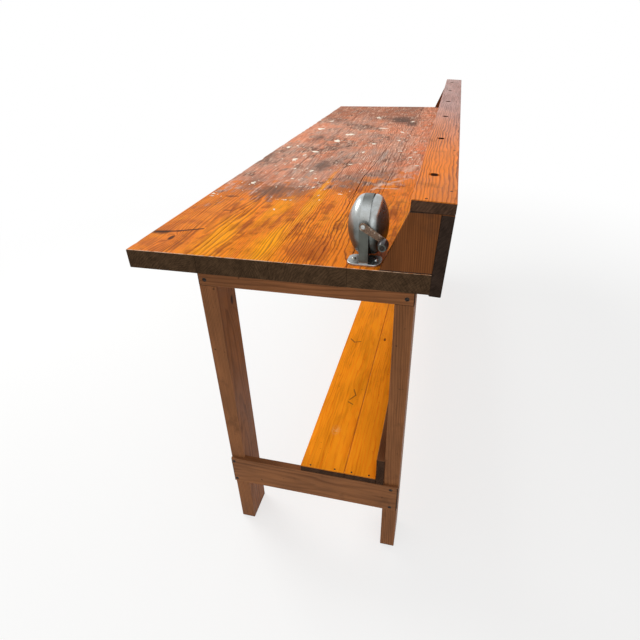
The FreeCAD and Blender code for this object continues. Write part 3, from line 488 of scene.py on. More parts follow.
def top_wood(node, grain, seed, look):
    """Bench top: glossy orange varnish at the right end, worn grey-brown with paint flecks further along."""
    paint = Paint.named(f"{node}_wood")
    board = Board(paint, node, grain, seed)
    broad = paint.noise(board.flat, 5.5, 3.0, 0.55)
    middle = paint.noise(board.flat, 24.0, 5.0, 0.64)
    long = paint.noise(paint.vector(board.x * 0.16, board.y, board.z), 46.0, 4.0, 0.64)
    fine = paint.noise(paint.vector(board.x * 0.10, board.y, board.z), 240.0, 3.0, 0.65)
    ragged = paint.noise(board.flat, 80.0, 4.0, 0.62)
    noises = (broad, middle, long, fine)

    wear = board.away + (broad - 0.5) * 0.50 + (middle - 0.5) * 0.45 + (long - 0.5) * 0.35
    wear = wear - paint.rise(board.deep, *EARLY_WEAR) * 0.16
    age = paint.rise(wear, look.varnish_end * 0.98, look.varnish_end * 1.30)
    streak = spot(board, *KEPT_STREAK, ragged)
    age = age * (1.0 - streak * 0.9)
    colour = paint.mix(age, varnished(board, look, noises), bare_worn(board, look, noises))
    colour = marked(board, colour, look.grime, spot, DARK_PATCHES, middle)
    colour = marked(board, colour, look.ink, stroke, INK_MARKS)
    colour = marked(board, colour, look.scuff, broken_stroke, PALE_SCUFFS, ragged)
    if board.knot is not None:
        colour = paint.mix(board.knot * 0.85, colour, look.ink)

    up = paint.rise(paint.facing()[2], 0.6, 0.9)
    flecked = paint.band(board.away, *FLECKED)
    bend = paint.vector((ragged - 0.5) * 0.022, (middle - 0.5) * 0.03, 0.0)
    flecks = specks(paint, board.flat, 34.0, 0.16, 0.16, bend)
    flecks = paint.larger(flecks, specks(paint, board.flat, 90.0, 0.30, 0.16, bend))
    flecks = flecks * flecked * up * paint.rise(broad * 0.6 + middle * 0.5, 0.50, 0.62)
    colour = paint.mix(flecks * 0.85, colour, look.paint_drop)

    seam = paint.fall(board.side_room, *SEAM_FADE) * up * paint.rise(board.deep, 0.01, 0.02)
    colour = paint.mix(seam * (0.25 + paint.spread(long) * 0.50), colour, look.ink)
    check = paint.band(TOP_FACE - board.z, *CHECK_WALLS)
    check = check * paint.rise(paint.smaller(board.side_room, board.end_room), 0.004, 0.006)
    colour = paint.mix(check * 0.9, colour, look.ink)

    side = paint.rise(0.0 - paint.facing()[1], 0.55, 0.85)
    side_tone = 0.66 + board.streak * 0.3 + board.tone * 0.3
    side_colour = paint.mix(board.late * 0.5, paint.shade(look.side, side_tone), look.end_grain)
    colour = paint.mix(side, colour, side_colour)
    under = paint.rise(0.0 - paint.facing()[2], 0.6, 0.9)
    bare = paint.mix(board.late * 0.7, look.bare, look.bare_late)
    colour = paint.mix(under, colour, paint.shade(bare, 0.75 + board.slow * 0.5))
    colour = paint.mix(board.end, colour, end_grain(paint, board, look.end_grain))
    # Pale arris line: worn bare wood on the upward facing part of the front and end arrises, and also a
    # painted highlight line along them
    brink, front = [paint.band(abs(paint.facing()[axis]), 0.10, 0.35, 0.80, 0.95) for axis in (0, 1)]
    front = front * paint.fall(board.deep, 0.003, 0.006)
    rubbed = paint.larger(front * 0.55, brink) * paint.rise(paint.facing()[2], 0.10, 0.40)
    colour = paint.mix(rubbed * (0.25 + paint.rise(ragged, 0.40, 0.58) * 0.65), colour, look.rubbed)

    rough = 0.36 + age * 0.26 + (paint.spread(middle) - 0.5) * 0.16 + board.end * 0.30
    height = (
        board.late * 0.30 + paint.spread(fine) * 0.18 + board.fibre * 0.15
        + middle * 0.5 * age + flecks - seam * 1.2
    )
    return paint.surface(
        Base_Color=colour,
        Roughness=rough,
        Specular_IOR_Level=0.01,
        Coat_Weight=(1.0 - age) * (1.0 - board.end) * look.coat,
        Coat_Roughness=0.2,
        Normal=paint.bump(height, 0.5, 0.0008),
    )


# Where the top changes, as the metres between which each change happens, or a band rises and falls.
# From the right end: the dark left end, and the paint flecks
DARK_END = (1.25, 1.62)
FLECKED = (0.36, 0.66, 1.50, 1.85)
# From the front edge: the end of the dull film, the start of earlier wear, and of the orange back
FILM_FADE = (0.06, 0.16)
EARLY_WEAR = (0.18, 0.42)
ORANGE_BACK = (0.39, 0.47)
# From a board's side: its dark seam. Under the top face: the walls of the drying check
SEAM_FADE = (0.0003, 0.0013)
CHECK_WALLS = (0.0006, 0.0018, 0.008, 0.009)
# Streak of varnish that lasts further than the rest, placed like the spots
KEPT_STREAK = (0.44, 0.272, 0.24, 0.011)
# Marks on the top are placed by metres from its right end, then from its front edge.
# Spots: place, half their size in the same two directions, and strength
BRIGHT_STREAKS = [
    (0.10, 0.150, 0.16, 0.040, 0.75),
    (0.07, 0.262, 0.16, 0.030, 0.90),
    (0.27, 0.215, 0.12, 0.030, 0.60),
    (0.30, 0.285, 0.14, 0.016, 0.75),
    (0.44, 0.272, 0.24, 0.009, 0.85),
    (0.20, 0.520, 0.18, 0.030, 0.50),
]
DARK_PATCHES = [
    (0.41, 0.156, 0.080, 0.060, 0.80),
    (0.47, 0.075, 0.100, 0.030, 0.50),
    (0.40, 0.230, 0.070, 0.025, 0.55),
    (0.68, 0.215, 0.085, 0.030, 0.75),
    (0.52, 0.330, 0.100, 0.040, 0.40),
    (1.495, 0.364, 0.110, 0.060, 0.80),
    (1.40, 0.420, 0.060, 0.030, 0.75),
    (1.06, 0.095, 0.090, 0.030, 0.55),
    (0.60, 0.420, 0.060, 0.040, 0.35),
]
# Strokes: where they start and end, half their width, and strength
INK_MARKS = [
    ((0.094, 0.006), (0.096, 0.030), 0.014, 0.65),
    ((0.094, 0.010), (0.106, 0.055), 0.006, 0.80),
    ((0.106, 0.055), (0.127, 0.098), 0.005, 0.85),
    ((0.345, 0.055), (0.348, 0.080), 0.007, 0.55),
    ((0.245, 0.092), (0.245, 0.108), 0.006, 0.45),
    ((0.090, 0.3660), (0.182, 0.3668), 0.0014, 0.55),
]
PALE_SCUFFS = [
    ((0.470, 0.404), (0.473, 0.468), 0.0045, 0.80),
    ((0.489, 0.410), (0.566, 0.477), 0.0060, 0.50),
    ((0.452, 0.401), (0.508, 0.416), 0.0070, 0.75),
    ((0.500, 0.406), (0.512, 0.440), 0.0130, 0.45),
    ((0.531, 0.441), (0.540, 0.469), 0.0050, 0.65),
    ((0.650, 0.470), (0.705, 0.482), 0.020, 0.85),
    ((1.020, 0.440), (1.030, 0.500), 0.005, 0.60),
    ((1.300, 0.270), (1.345, 0.345), 0.005, 0.70),
]
# Pen lines on the lower shelf, placed in the same way, and its pale rubbed patch
SHELF_MARKS = [
    ((0.700, 0.300), (0.682, 0.316), 0.0030, 0.75),
    ((0.682, 0.316), (0.690, 0.338), 0.0030, 0.75),
    ((0.420, 0.366), (0.395, 0.376), 0.0028, 0.70),
    ((0.395, 0.376), (0.372, 0.362), 0.0028, 0.70),
    ((0.360, 0.360), (0.352, 0.374), 0.0028, 0.70),
]
SHELF_PALE = (0.235, 0.348, 0.022, 0.016)
# Knots of the frame's boards: metres along and across from the board's middle, then radius
FRAME_KNOTS = {
    "front_right_leg": [(0.290, -0.020, 0.006)],
    "back_right_leg": [(-0.120, 0.022, 0.0035), (-0.175, 0.018, 0.0035)],
    "front_left_leg": [(-0.060, 0.016, 0.007)],
    "back_left_leg": [(0.180, -0.012, 0.006)],
    "left_end_stretcher": [(-0.110, -0.012, 0.007)],
    "front_apron": [(0.420, 0.010, 0.008), (-0.310, -0.014, 0.007)],
    "back_apron": [(-0.520, 0.012, 0.008)],
}
# Larger paint drops: place as above, and half their size in the same two directions
PAINT_DROPS = [
    (0.269, 0.205, 0.006, 0.003), (0.358, 0.012, 0.005, 0.005), (0.405, 0.329, 0.004, 0.007),
    (0.450, 0.248, 0.007, 0.003), (0.468, 0.076, 0.012, 0.008), (0.522, 0.169, 0.006, 0.006),
    (0.533, 0.232, 0.008, 0.004), (0.609, 0.200, 0.010, 0.007), (0.627, 0.144, 0.009, 0.004),
    (0.698, 0.296, 0.007, 0.006), (0.709, 0.324, 0.005, 0.005), (0.714, 0.492, 0.006, 0.009),
    (0.737, 0.110, 0.018, 0.011), (0.798, 0.124, 0.012, 0.005), (0.811, 0.464, 0.006, 0.008),
    (0.850, 0.146, 0.014, 0.012), (0.863, 0.306, 0.012, 0.006), (0.885, 0.473, 0.008, 0.007),
    (0.895, 0.426, 0.008, 0.005), (0.906, 0.034, 0.018, 0.008), (0.932, 0.060, 0.012, 0.004),
    (0.995, 0.320, 0.011, 0.011), (1.030, 0.180, 0.026, 0.013), (1.062, 0.401, 0.012, 0.007),
    (1.153, 0.202, 0.024, 0.018), (1.219, 0.395, 0.018, 0.007), (1.256, 0.060, 0.018, 0.020),
    (1.293, 0.311, 0.009, 0.026), (1.443, 0.063, 0.018, 0.009), (1.452, 0.006, 0.012, 0.005),
    (1.460, 0.414, 0.018, 0.009), (1.549, 0.255, 0.022, 0.011),
]

# Small drops: how far they scatter from a larger one, half their widths, and the corners of their area
DROP_SEED = 7
DROP_SCATTER = (0.055, 0.028)
DROP_SIZES = (0.0008, 0.0028)
DROP_AREA = ((0.34, 0.01), (1.86, 0.54))
# Chips knocked out of an arris of the worn boards
BOARD_SEED = 40
FRONT_CHIPS = 30
SEAM_CHIPS = 6


# Metal

def plated(name, look, colour, dull, rough, relief=0.10, painted_highlight=None):
    """Worn plating: grey metal with clouded patches, fine scratches and darker pits, with a painted
    highlight where a mask is given.
    """
    paint = Paint.named(name)
    place = paint.point()
    cloud = paint.clouds(place, 42.0, 4.0, 0.62)
    pits = paint.noise(place, 460.0, 3.0, 0.6)
    scratch = paint.clouds(place, 1400.0, 2.0)
    pitted = paint.rise(pits, 0.60, 0.72)
    shade = paint.mix(cloud, colour, dull)
    share = 0.0
    # Painted highlight: the mask (share) lightens the plating towards the bright colour and makes it
    # smoother
    if painted_highlight is not None:
        share = painted_highlight(paint, paint.place()[2])
        shade = paint.mix(share, shade, paint.mix(cloud * 0.5, look.bright, look.bright_dull))
    shade = paint.mix(pitted * 0.55, shade, look.nickel_pit)
    return paint.surface(
        Base_Color=shade,
        Metallic=0.92 - pitted * 0.3,
        Roughness=rough + (cloud - 0.5) * 0.14 + pitted * 0.2 + scratch * 0.05 - share * 0.15,
        Normal=paint.bump(pits * 0.5 + cloud * 0.4 + scratch * 0.2, relief, 0.0003),
    )


# Heights between which the painted highlight comes and goes: on the hoop's top, on the base plate, on the
# shells
HOOP_HIGHLIGHT = (CRANK_HEIGHT - 0.002, CRANK_HEIGHT + 0.018)
HOOP_HIGHLIGHT_END = (CRANK_HEIGHT + 0.024, CRANK_HEIGHT + 0.036)
BASE_HIGHLIGHT = (TOP_FACE + 0.0040, TOP_FACE + 0.0060)
SHELL_HIGHLIGHT = (CRANK_HEIGHT - 0.016, CRANK_HEIGHT + 0.022)


def handled(paint, height):
    """Painted highlight on the casting, lighter where light falls: the top of its hoop and its base plate.
    """
    hoop = paint.rise(height, *HOOP_HIGHLIGHT) * (1.0 - paint.rise(height, *HOOP_HIGHLIGHT_END) * 0.85)
    base = paint.fall(height, *BASE_HIGHLIGHT)
    return paint.larger(hoop, base * 0.8)


def painted_shell_highlight(paint, height):
    """Painted highlight on the upper half of the shells, where light falls, fading to dull below the crank.
    """
    return paint.rise(height, *SHELL_HIGHLIGHT) * 0.85


def rusted(name, look):
    """Steel bar with rust through its worn plating."""
    paint = Paint.named(name)
    place = paint.point()
    cloud = paint.noise(place, 170.0, 5.0, 0.65)
    grit = paint.clouds(place, 900.0, 3.0)
    bare = paint.rise(cloud, 0.52, 0.62)
    colour = paint.mix(grit, look.rust, look.rust_dark)
    colour = paint.mix(bare * 0.85, colour, look.rust_bare)
    return paint.surface(
        Base_Color=colour,
        Metallic=0.15 + bare * 0.5,
        Roughness=0.66 - bare * 0.2,
        Specular_IOR_Level=0.4,
        Normal=paint.bump(grit * 0.5 + cloud, 0.4, 0.0003),
    )


def dark_steel(name, look):
    """Old screw heads: dark oxide with brighter rubbed spots."""
    paint = Paint.named(name)
    place = paint.point()
    rub = paint.rise(paint.noise(place, 320.0, 4.0, 0.6), 0.5, 0.68)
    return paint.surface(
        Base_Color=paint.mix(rub, look.screw, look.screw_rubbed),
        Metallic=0.7,
        Roughness=0.62 - rub * 0.2,
        Normal=paint.bump(rub, 0.3, 0.0002),
    )


def plain_metal(name, colour, rough):
    """Turned or cut metal with faint machining marks."""
    paint = Paint.named(name)
    place = paint.point()
    marks = paint.noise(place, 600.0, 3.0, 0.6)
    dull = paint.clouds(place, 90.0, 3.0)
    return paint.surface(
        Base_Color=paint.shade(colour, 0.75 + dull * 0.4),
        Metallic=1.0,
        Roughness=rough + (dull - 0.5) * 0.2,
        Normal=paint.bump(marks, 0.25, 0.0002),
    )


def knob_lacquer(name, look):
    """Dark lacquer on a turned wooden grip, worn brown round its belly."""
    paint = Paint.named(name)
    x, y, z = paint.place()
    rub = paint.noise(paint.vector(x * 0.4, y, z), 180.0, 4.0, 0.6)
    worn = paint.rise(rub, 0.56, 0.70)
    return paint.surface(
        Base_Color=paint.mix(worn * 0.6, look.knob, look.knob_worn),
        Roughness=0.34 + worn * 0.25,
        Coat_Weight=(1.0 - worn) * 0.3,
        Coat_Roughness=0.2,
        Normal=paint.bump(rub, 0.3, 0.0003),
    )


def old_paint(name, look):
    """Dried cream paint, a little dirty and chalky."""
    paint = Paint.named(name)
    place = paint.point()
    dirt = paint.rise(paint.noise(place, 160.0, 4.0, 0.65), 0.50, 0.72)
    grain = paint.clouds(place, 900.0, 2.0)
    return paint.surface(
        Base_Color=paint.mix(dirt * 0.55, look.paint_drop, look.scuff),
        Roughness=0.55 + dirt * 0.2,
        Specular_IOR_Level=0.3,
        Normal=paint.bump(grain, 0.2, 0.0002),
    )


# Shapes

# How finely the new pieces are divided: round an arris, along a board, across its wide faces, round a
# drop of paint and round the floor
ARC_STEPS = 6
LENGTH_STEPS = 236
FACE_STEPS = 22
DROP_STEPS = 16
FLOOR_STEPS = 96
UNDER_ARRIS = 0.0012
# Worn arris: slow waves along it and their share of its radius, widths of its chips in metres, and
# their depths as shares of the radius
WAVES = 26
WAVE_SHARE = 0.8
CHIP_WIDTHS = (0.006, 0.020)
CHIP_DEPTHS = (0.4, 1.6)
# Paint drops: thickness in metres, and how far a drop may turn to either side in radians
DROP_HEIGHTS = (0.00025, 0.0006)
DROP_TURN = 0.5


def smooth_row(rng, count, knots, low, high):
    """Random row: values at evenly spaced knots, joined by half cosine waves."""
    values = rng.uniform(low, high, knots)
    place = np.linspace(0, knots - 1, count)
    left = np.minimum(place.astype(int), knots - 2)
    share = 0.5 - 0.5 * np.cos(math.pi * (place - left))
    return values[left] * (1 - share) + values[left + 1] * share


def worn_radius(rng, along, radius, chips):
    """Radius of an arris along a board: a slow wave, plus a bell curve for each chip knocked out of it."""
    row = radius * (0.65 + smooth_row(rng, len(along), WAVES, 0.0, WAVE_SHARE))
    places = rng.uniform(along[0], along[-1], chips)
    widths = rng.uniform(*CHIP_WIDTHS, chips)
    depths = rng.uniform(*CHIP_DEPTHS, chips) * radius
    bells = np.exp(-((along[:, None] - places[None, :]) / widths[None, :]) ** 2)
    return row + (bells * depths[None, :]).sum(axis=1)


@dataclass
class Wear:
    """How round a board's top arrises and ends are worn, in metres, and how many chips they have."""

    front: float
    back: float
    ends: float
    chips: tuple


def worn_board_points(low, high, wear, dish, rng):
    """Rounded rectangle carried along the board, as rows of points.

    Each outline is four quarter circles joined by straight faces. Its top radii come from worn_radius.
    Near an end the outline shrinks by r - sqrt(r^2 - (r - d)^2), where d is the distance to the end, so
    that the end's arris is a quarter circle too. The top face sinks by crossed waves times the dish.
    """
    half = (high - low) / 2
    middle = (low + high) / 2
    bend = np.linspace(0, math.pi / 2, ARC_STEPS)
    run_in = wear.ends * (1 - np.cos(bend))
    shrink_in = wear.ends * (1 - np.sin(bend))
    body = np.linspace(low[0] + wear.ends, high[0] - wear.ends, LENGTH_STEPS)[1:-1]
    along = np.concatenate([low[0] + run_in, body, high[0] - run_in[::-1]])
    shrink = np.concatenate([shrink_in, np.zeros(len(body)), shrink_in[::-1]])
    width = (half[1] - shrink)[:, None]
    height = (half[2] - shrink)[:, None]
    front = worn_radius(rng, along, wear.front, wear.chips[0])[:, None]
    back = worn_radius(rng, along, wear.back, wear.chips[1])[:, None]
    under = np.full_like(front, UNDER_ARRIS)
    turn = bend[None, :]
    flat = np.concatenate([[0.003], np.linspace(0.03, 0.97, FACE_STEPS), [0.997]])[None, :]
    side = np.array([0.01, 0.5, 0.99])[None, :]

    def corner(sign_y, sign_z, radius, start):
        return (sign_y * (width - radius) + radius * np.cos(start + turn),
                sign_z * (height - radius) + radius * np.sin(start + turn))

    def face(first, second, shares):
        return tuple(a[:, -1:] * (1 - shares) + b[:, :1] * shares for a, b in zip(first, second))

    corners = [
        corner(1, 1, back, 0), corner(-1, 1, front, math.pi / 2),
        corner(-1, -1, under, math.pi), corner(1, -1, under, 1.5 * math.pi),
    ]
    rows = []
    for index, shares in enumerate((flat, side, flat, side)):
        rows.append(corners[index])
        rows.append(face(corners[index], corners[(index + 1) % 4], shares))
    y = np.concatenate([row[0] for row in rows], axis=1)
    z = np.concatenate([row[1] for row in rows], axis=1)
    x = np.repeat(along[:, None], y.shape[1], axis=1)
    phases = rng.uniform(0, 2 * math.pi, 6)
    waves = (
        np.sin(x * 23 + y * 40 + phases[0]) + np.sin(x * 51 - y * 75 + phases[1])
        + np.sin(x * 9 + y * 110 + phases[2]) + np.sin(x * 84 + y * 31 + phases[3])
    )
    upper = np.clip((z / height - 0.9) * 10, 0, 1)
    inner = np.clip(np.minimum(x - low[0], high[0] - x) / 0.010, 0, 1)
    sink = dish * (0.5 + waves / 8) * upper * inner
    return np.stack([x, y + middle[1], z - sink + middle[2]], axis=-1)


def tube_faces(rows, columns):
    """Quads of a closed outline carried along rows, and one flat face at each end, all facing outwards."""
    row, column = np.meshgrid(np.arange(rows - 1), np.arange(columns), indexing="ij")
    following = (column + 1) % columns
    quads = np.stack([
        row * columns + column, row * columns + following,
        (row + 1) * columns + following, (row + 1) * columns + column,
    ], axis=-1).reshape(-1, 4).tolist()
    first = list(range(columns - 1, -1, -1))
    last = list(range((rows - 1) * columns, rows * columns))
    return quads + [first, last]


def drop_points(places, rng):
    """Paint drops as low domes, one row of rings each.

    In each drop, ring number k has radius r(a) * s_k and height h * t_k. The outline r(a) is 0.8 plus
    three waves round the drop and never under 0.22. It is stretched to the drop's two half sizes and
    turned. The lowest ring lies under the top's face.
    """
    count = len(places)
    angle = np.linspace(0, 2 * math.pi, DROP_STEPS, endpoint=False)
    waves = np.zeros((count, len(angle)))
    for lobes, size in ((2, 0.30), (3, 0.26), (5, 0.24)):
        amount = rng.uniform(-size, size, count)[:, None]
        waves += amount * np.cos(lobes * angle[None, :] + rng.uniform(0, 2 * math.pi, count)[:, None])
    outline = np.maximum(0.80 + waves, 0.22)
    shares = np.array([1.0, 0.94, 0.72, 0.38])[None, :, None]
    levels = np.array([-0.6, 0.45, 0.85, 1.0])[None, :, None]
    height = rng.uniform(*DROP_HEIGHTS, count)[:, None, None]
    first = places[:, 2, None, None] * (outline * np.cos(angle))[:, None, :] * shares
    second = places[:, 3, None, None] * (outline * np.sin(angle))[:, None, :] * shares
    turn = rng.uniform(-DROP_TURN, DROP_TURN, count)[:, None, None]
    x = RIGHT_END - places[:, 0, None, None] + first * np.cos(turn) - second * np.sin(turn)
    y = FRONT_EDGE + places[:, 1, None, None] + first * np.sin(turn) + second * np.cos(turn)
    z = TOP_FACE + height * levels + np.zeros_like(x)
    return np.stack([x, y, z], axis=-1)


def drop_faces(count, rings, steps):
    """Quads between each drop's rings, and a flat face on its top ring and under its lowest."""
    one = tube_faces(rings, steps)
    bases = range(0, count * rings * steps, rings * steps)
    return [[base + corner for corner in face] for base in bases for face in one]


# Adjustable sizes and colours

# Width of the photograph in pixels
PICTURE = 640


def described(text):
    """A property's name and description, from one text with a colon between them."""
    name, description = text.split(": ")
    return {"name": name, "description": description}


def tint(text, red, green, blue):
    """Colour property from sRGB steps of 0 to 255."""
    return FloatVectorProperty(
        **described(text), subtype="COLOR", size=3, min=0.0, max=1.0, default=linear(red, green, blue),
    )


def measure(text, default, **limits):
    return FloatProperty(**described(text), default=default, **limits)


def metres(text, default, highest):
    return measure(text, default, min=0.0, max=highest, unit="LENGTH", precision=5)


class TopLook(PropertyGroup):
    varnish_end: metres("Varnish end: how far from the right end the varnish lasts", 0.36, 2.0)
    front_wear: metres("Front wear: radius of the worn front arris", 0.0024, 0.006)
    seam_wear: metres("Seam wear: radius of the arrises between the boards", 0.0007, 0.003)
    end_wear: metres("End wear: radius of the worn end arrises", 0.0016, 0.004)
    dish: metres("Dish: how far the top faces are worn down in places", 0.0004, 0.002)
    small_drops: IntProperty(
        **described("Small drops: how many small paint drops lie round the large ones"), default=240, min=0)
    varnish: tint("Varnish: orange of the kept varnish", 252, 140, 30)
    varnish_bright: tint("Bright varnish: brightest streaks of the varnish", 255, 166, 10)
    varnish_late: tint("Varnished late wood: dark ring lines under the varnish", 118, 46, 8)
    varnish_dark: tint("Dark varnish: darker streaks of the varnish", 204, 94, 18)
    varnish_brown: tint("Brown varnish: handled, brown patches", 158, 76, 22)
    film: tint("Film: dull film near the front edge", 204, 114, 52)
    worn_grey: tint("Worn wood, grey: grey-brown of the worn top", 184, 158, 144)
    worn_brown: tint("Worn wood, brown: pinkish brown of the worn top", 200, 136, 108)
    worn_orange: tint("Worn wood, orange: orange left on the worn top", 244, 136, 84)
    worn_far: tint("Worn wood, left end: dark reddish brown of the left end", 160, 96, 68)
    worn_late: tint("Worn late wood: ring lines of the worn top", 98, 60, 46)
    grime: tint("Grime: dark blotches", 96, 78, 70)
    ink: tint("Ink: dark marks, cracks and seams", 36, 22, 18)
    scuff: tint("Scuff: pale rubbed marks", 232, 190, 166)
    # Colour of the top's worn arrises, and also of the painted highlight line along them
    rubbed: tint("Rubbed arris: bare wood on the worn arrises", 236, 198, 168)
    paint_drop: tint("Paint drops: old cream paint", 244, 234, 214)
    end_grain: tint("End grain: dark end grain of the top", 74, 56, 40)
    side: tint("Front edge: front edge of the top", 128, 80, 50)
    bare: tint("Bare wood: unfinished underside", 176, 134, 96)
    bare_late: tint("Bare late wood: ring lines of the underside", 132, 90, 58)
    coat: measure("Varnish coat: strength of the varnish's own gloss", 0.05, min=0.0, max=1.0)


class FrameLook(PropertyGroup):
    early: tint("Early wood: light wood of the frame", 140, 92, 58)
    late: tint("Late wood: ring lines of the frame", 90, 54, 32)
    end: tint("End grain: end grain of the frame", 66, 46, 34)
    worn: tint("Worn edges: rubbed arrises", 150, 104, 72)
    back_early: tint("Back, early wood: light wood of the back board and gussets", 118, 70, 37)
    back_late: tint("Back, late wood: ring lines of the back board and gussets", 64, 38, 20)
    back_end: tint("Back, end grain: end grain of the back board", 54, 42, 35)
    shelf_early: tint("Lower shelf, early wood: varnish of the lower shelf", 255, 154, 28)
    shelf_late: tint("Lower shelf, late wood: ring lines of the lower shelf", 232, 112, 10)
    shelf_pale: tint("Lower shelf, rubbed: pale rubbed patch of the lower shelf", 255, 190, 120)
    rail_early: tint("Rear rail, early wood: light wood of the rear lower rail", 112, 72, 46)
    tool_early: tint("Tool shelf, early wood: tool shelf's right end", 240, 132, 40)
    tool_late: tint("Tool shelf, late wood: ring lines of the tool shelf", 136, 60, 18)
    tool_faded: tint("Tool shelf, faded: faded left end of the tool shelf", 184, 148, 142)
    tool_faded_late: tint("Tool shelf, faded rings: ring lines of the faded end", 122, 88, 78)
    tool_end: tint("Tool shelf, end grain: end grain of the tool shelf", 76, 55, 42)


class SharpenerLook(PropertyGroup):
    casting: tint("Casting: dull plating of the column", 92, 94, 88)
    casting_dull: tint("Dull casting: darker clouds on the column", 72, 73, 68)
    nickel: tint("Shells: plating of the domed shells", 110, 114, 111)
    nickel_dull: tint("Dull shells: clouded plating of the shells", 82, 86, 83)
    nickel_pit: tint("Pits: pits in the plating", 70, 66, 58)
    # bright is the real colour of the hub cap, base screws and pencil guide, and also the colour of the
    # painted highlight on the casting and shells
    bright: tint("Bright parts: hub cap, base screws and polished casting", 200, 206, 208)
    bright_dull: tint("Dulled bright parts: clouds on the bright parts", 160, 158, 150)
    casting_rough: measure("Casting roughness: roughness of the casting", 0.42, min=0.0, max=1.0)
    nickel_rough: measure("Shell roughness: roughness of the shells", 0.38, min=0.0, max=1.0)
    rust: tint("Arm: stained plating of the crank arm", 146, 116, 92)
    rust_dark: tint("Dark rust: deep rust of the arm", 62, 46, 38)
    rust_bare: tint("Bare steel: rubbed steel of the arm", 190, 174, 158)
    knob: tint("Knob: dark lacquer of the grip", 30, 26, 28)
    knob_worn: tint("Worn knob: wood under the lacquer", 74, 50, 40)
    brass: tint("Bush: brass bush of the crank", 176, 140, 78)
    tool_steel: tint("Cutters: steel of the cutters and gearing", 132, 132, 130)
    screw: tint("Screws: dark screws of the frame", 42, 36, 32)
    screw_rubbed: tint("Rubbed screws: brighter spots of the screws", 84, 74, 66)


class StageLook(PropertyGroup):
    floor: tint("Floor: pale studio floor", 242, 242, 240)
    floor_radius: metres("Floor radius: size of the floor", 14.0, 100.0)
    azimuth: measure(
        "Camera azimuth: direction of the photograph's view round the bench",
        math.radians(104.71), subtype="ANGLE")
    elevation: measure(
        "Camera elevation: how steeply the camera looks down", math.radians(32.10), subtype="ANGLE")
    roll: measure(
        "Camera roll: turn of the camera about its own axis", math.radians(1.62), subtype="ANGLE")
    eye: FloatVectorProperty(
        **described("Camera place: where the camera stands"), subtype="TRANSLATION", unit="LENGTH",
        size=3, default=(1.64525, 0.2790, 1.2606))
    focal_share: measure("Focal length: as a share of the picture's width", 465 / PICTURE)
    centre_right: measure("Centre right: optical centre right of the middle, as a share", 7.4 / PICTURE)
    centre_down: measure("Centre down: optical centre below the middle, as a share", 0.4 / PICTURE)
    world: measure("Sky light: strength of the even light", 0.62, min=0.0)
    key: measure("Key light: power of the large front lamp", 66.0, min=0.0)
    fill: measure("Fill light: power of the weak right lamp", 5.0, min=0.0)


# Pieces

def dress(material, *nodes):
    """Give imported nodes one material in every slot."""
    for node in nodes:
        mesh = frame["nodes"][node].data
        mesh.materials.clear()
        mesh.materials.append(material)


def add_mesh(name, points, faces, material):
    """Smooth mesh object; faces of more than four corners are flat ends."""
    mesh = bpy.data.meshes.new(name)
    mesh.from_pydata(points.reshape(-1, 3).tolist(), [], faces)
    mesh.polygons.foreach_set("use_smooth", [len(face) <= 4 for face in faces])
    mesh.materials.append(material)
    mesh.update()
    piece = bpy.data.objects.new(name, mesh)
    bpy.context.scene.collection.objects.link(piece)
    return piece


class WORKBENCH_OT_top(Operator):
    """Dress the boards of the bench top, and make the worn ones"""

    bl_idname = "workbench.top"
    bl_label = "Bench top"

    def execute(self, context):
        look = context.scene.workbench_top
        cuts = [
            Grain(pith=(0.050, -0.065), drift=(0.006, 0.012), ring=0.0040, knots=[(0.88, -0.014, 0.006)]),
            Grain(pith=(-0.070, -0.060), drift=(0.012, -0.010), ring=0.0042),
            Grain(pith=(0.085, -0.050), drift=(-0.020, 0.012), ring=0.0052, wander=0.014,
                  ripple=0.9, ripple_run=0.30, show=0.88, thin=0.52),
            Grain(pith=(-0.060, -0.055), drift=(0.020, 0.012), ring=0.0050, ripple=1.0, ripple_run=0.30,
                  show=0.60, thin=0.55),
        ]
        last = len(TOP_BOARDS) - 1
        for index, node in enumerate(TOP_BOARDS):
            material = top_wood(node, cuts[index], index + 1, look)
            dress(material, node)
            if node == CHECKED_BOARD:
                continue
            low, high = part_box(node)
            wear = Wear(
                look.front_wear if index == 0 else look.seam_wear,
                look.seam_wear if index < last else look.end_wear,
                look.end_wear,
                (FRONT_CHIPS if index == 0 else SEAM_CHIPS, SEAM_CHIPS),
            )
            rng = np.random.default_rng(BOARD_SEED + index)
            points = worn_board_points(np.array(low), np.array(high), wear, look.dish, rng)
            board = add_mesh(f"{node}_worn", points, tube_faces(*points.shape[:2]), material)
            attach(board, "bench")
            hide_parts(node)
        return {"FINISHED"}


class WORKBENCH_OT_drops(Operator):
    """Make the drops of old paint on the bench top"""

    bl_idname = "workbench.drops"
    bl_label = "Paint drops"

    def execute(self, context):
        look = context.scene.workbench_top
        rng = np.random.default_rng(DROP_SEED)
        large = np.array(PAINT_DROPS)
        near = large[rng.integers(0, len(large), look.small_drops)]
        small = near + rng.normal(0, 1, near.shape) * np.array([*DROP_SCATTER, 0, 0])
        size = rng.uniform(*DROP_SIZES, look.small_drops)
        small[:, :2] = np.clip(small[:, :2], *DROP_AREA)
        small[:, 2] = size * rng.uniform(1.0, 2.0, look.small_drops)
        small[:, 3] = size
        points = drop_points(np.concatenate([large, small]), rng)
        faces = drop_faces(*points.shape[:3])
        drops = add_mesh("paint_drops", points, faces, old_paint("old_cream_paint", look))
        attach(drops, "bench")
        return {"FINISHED"}


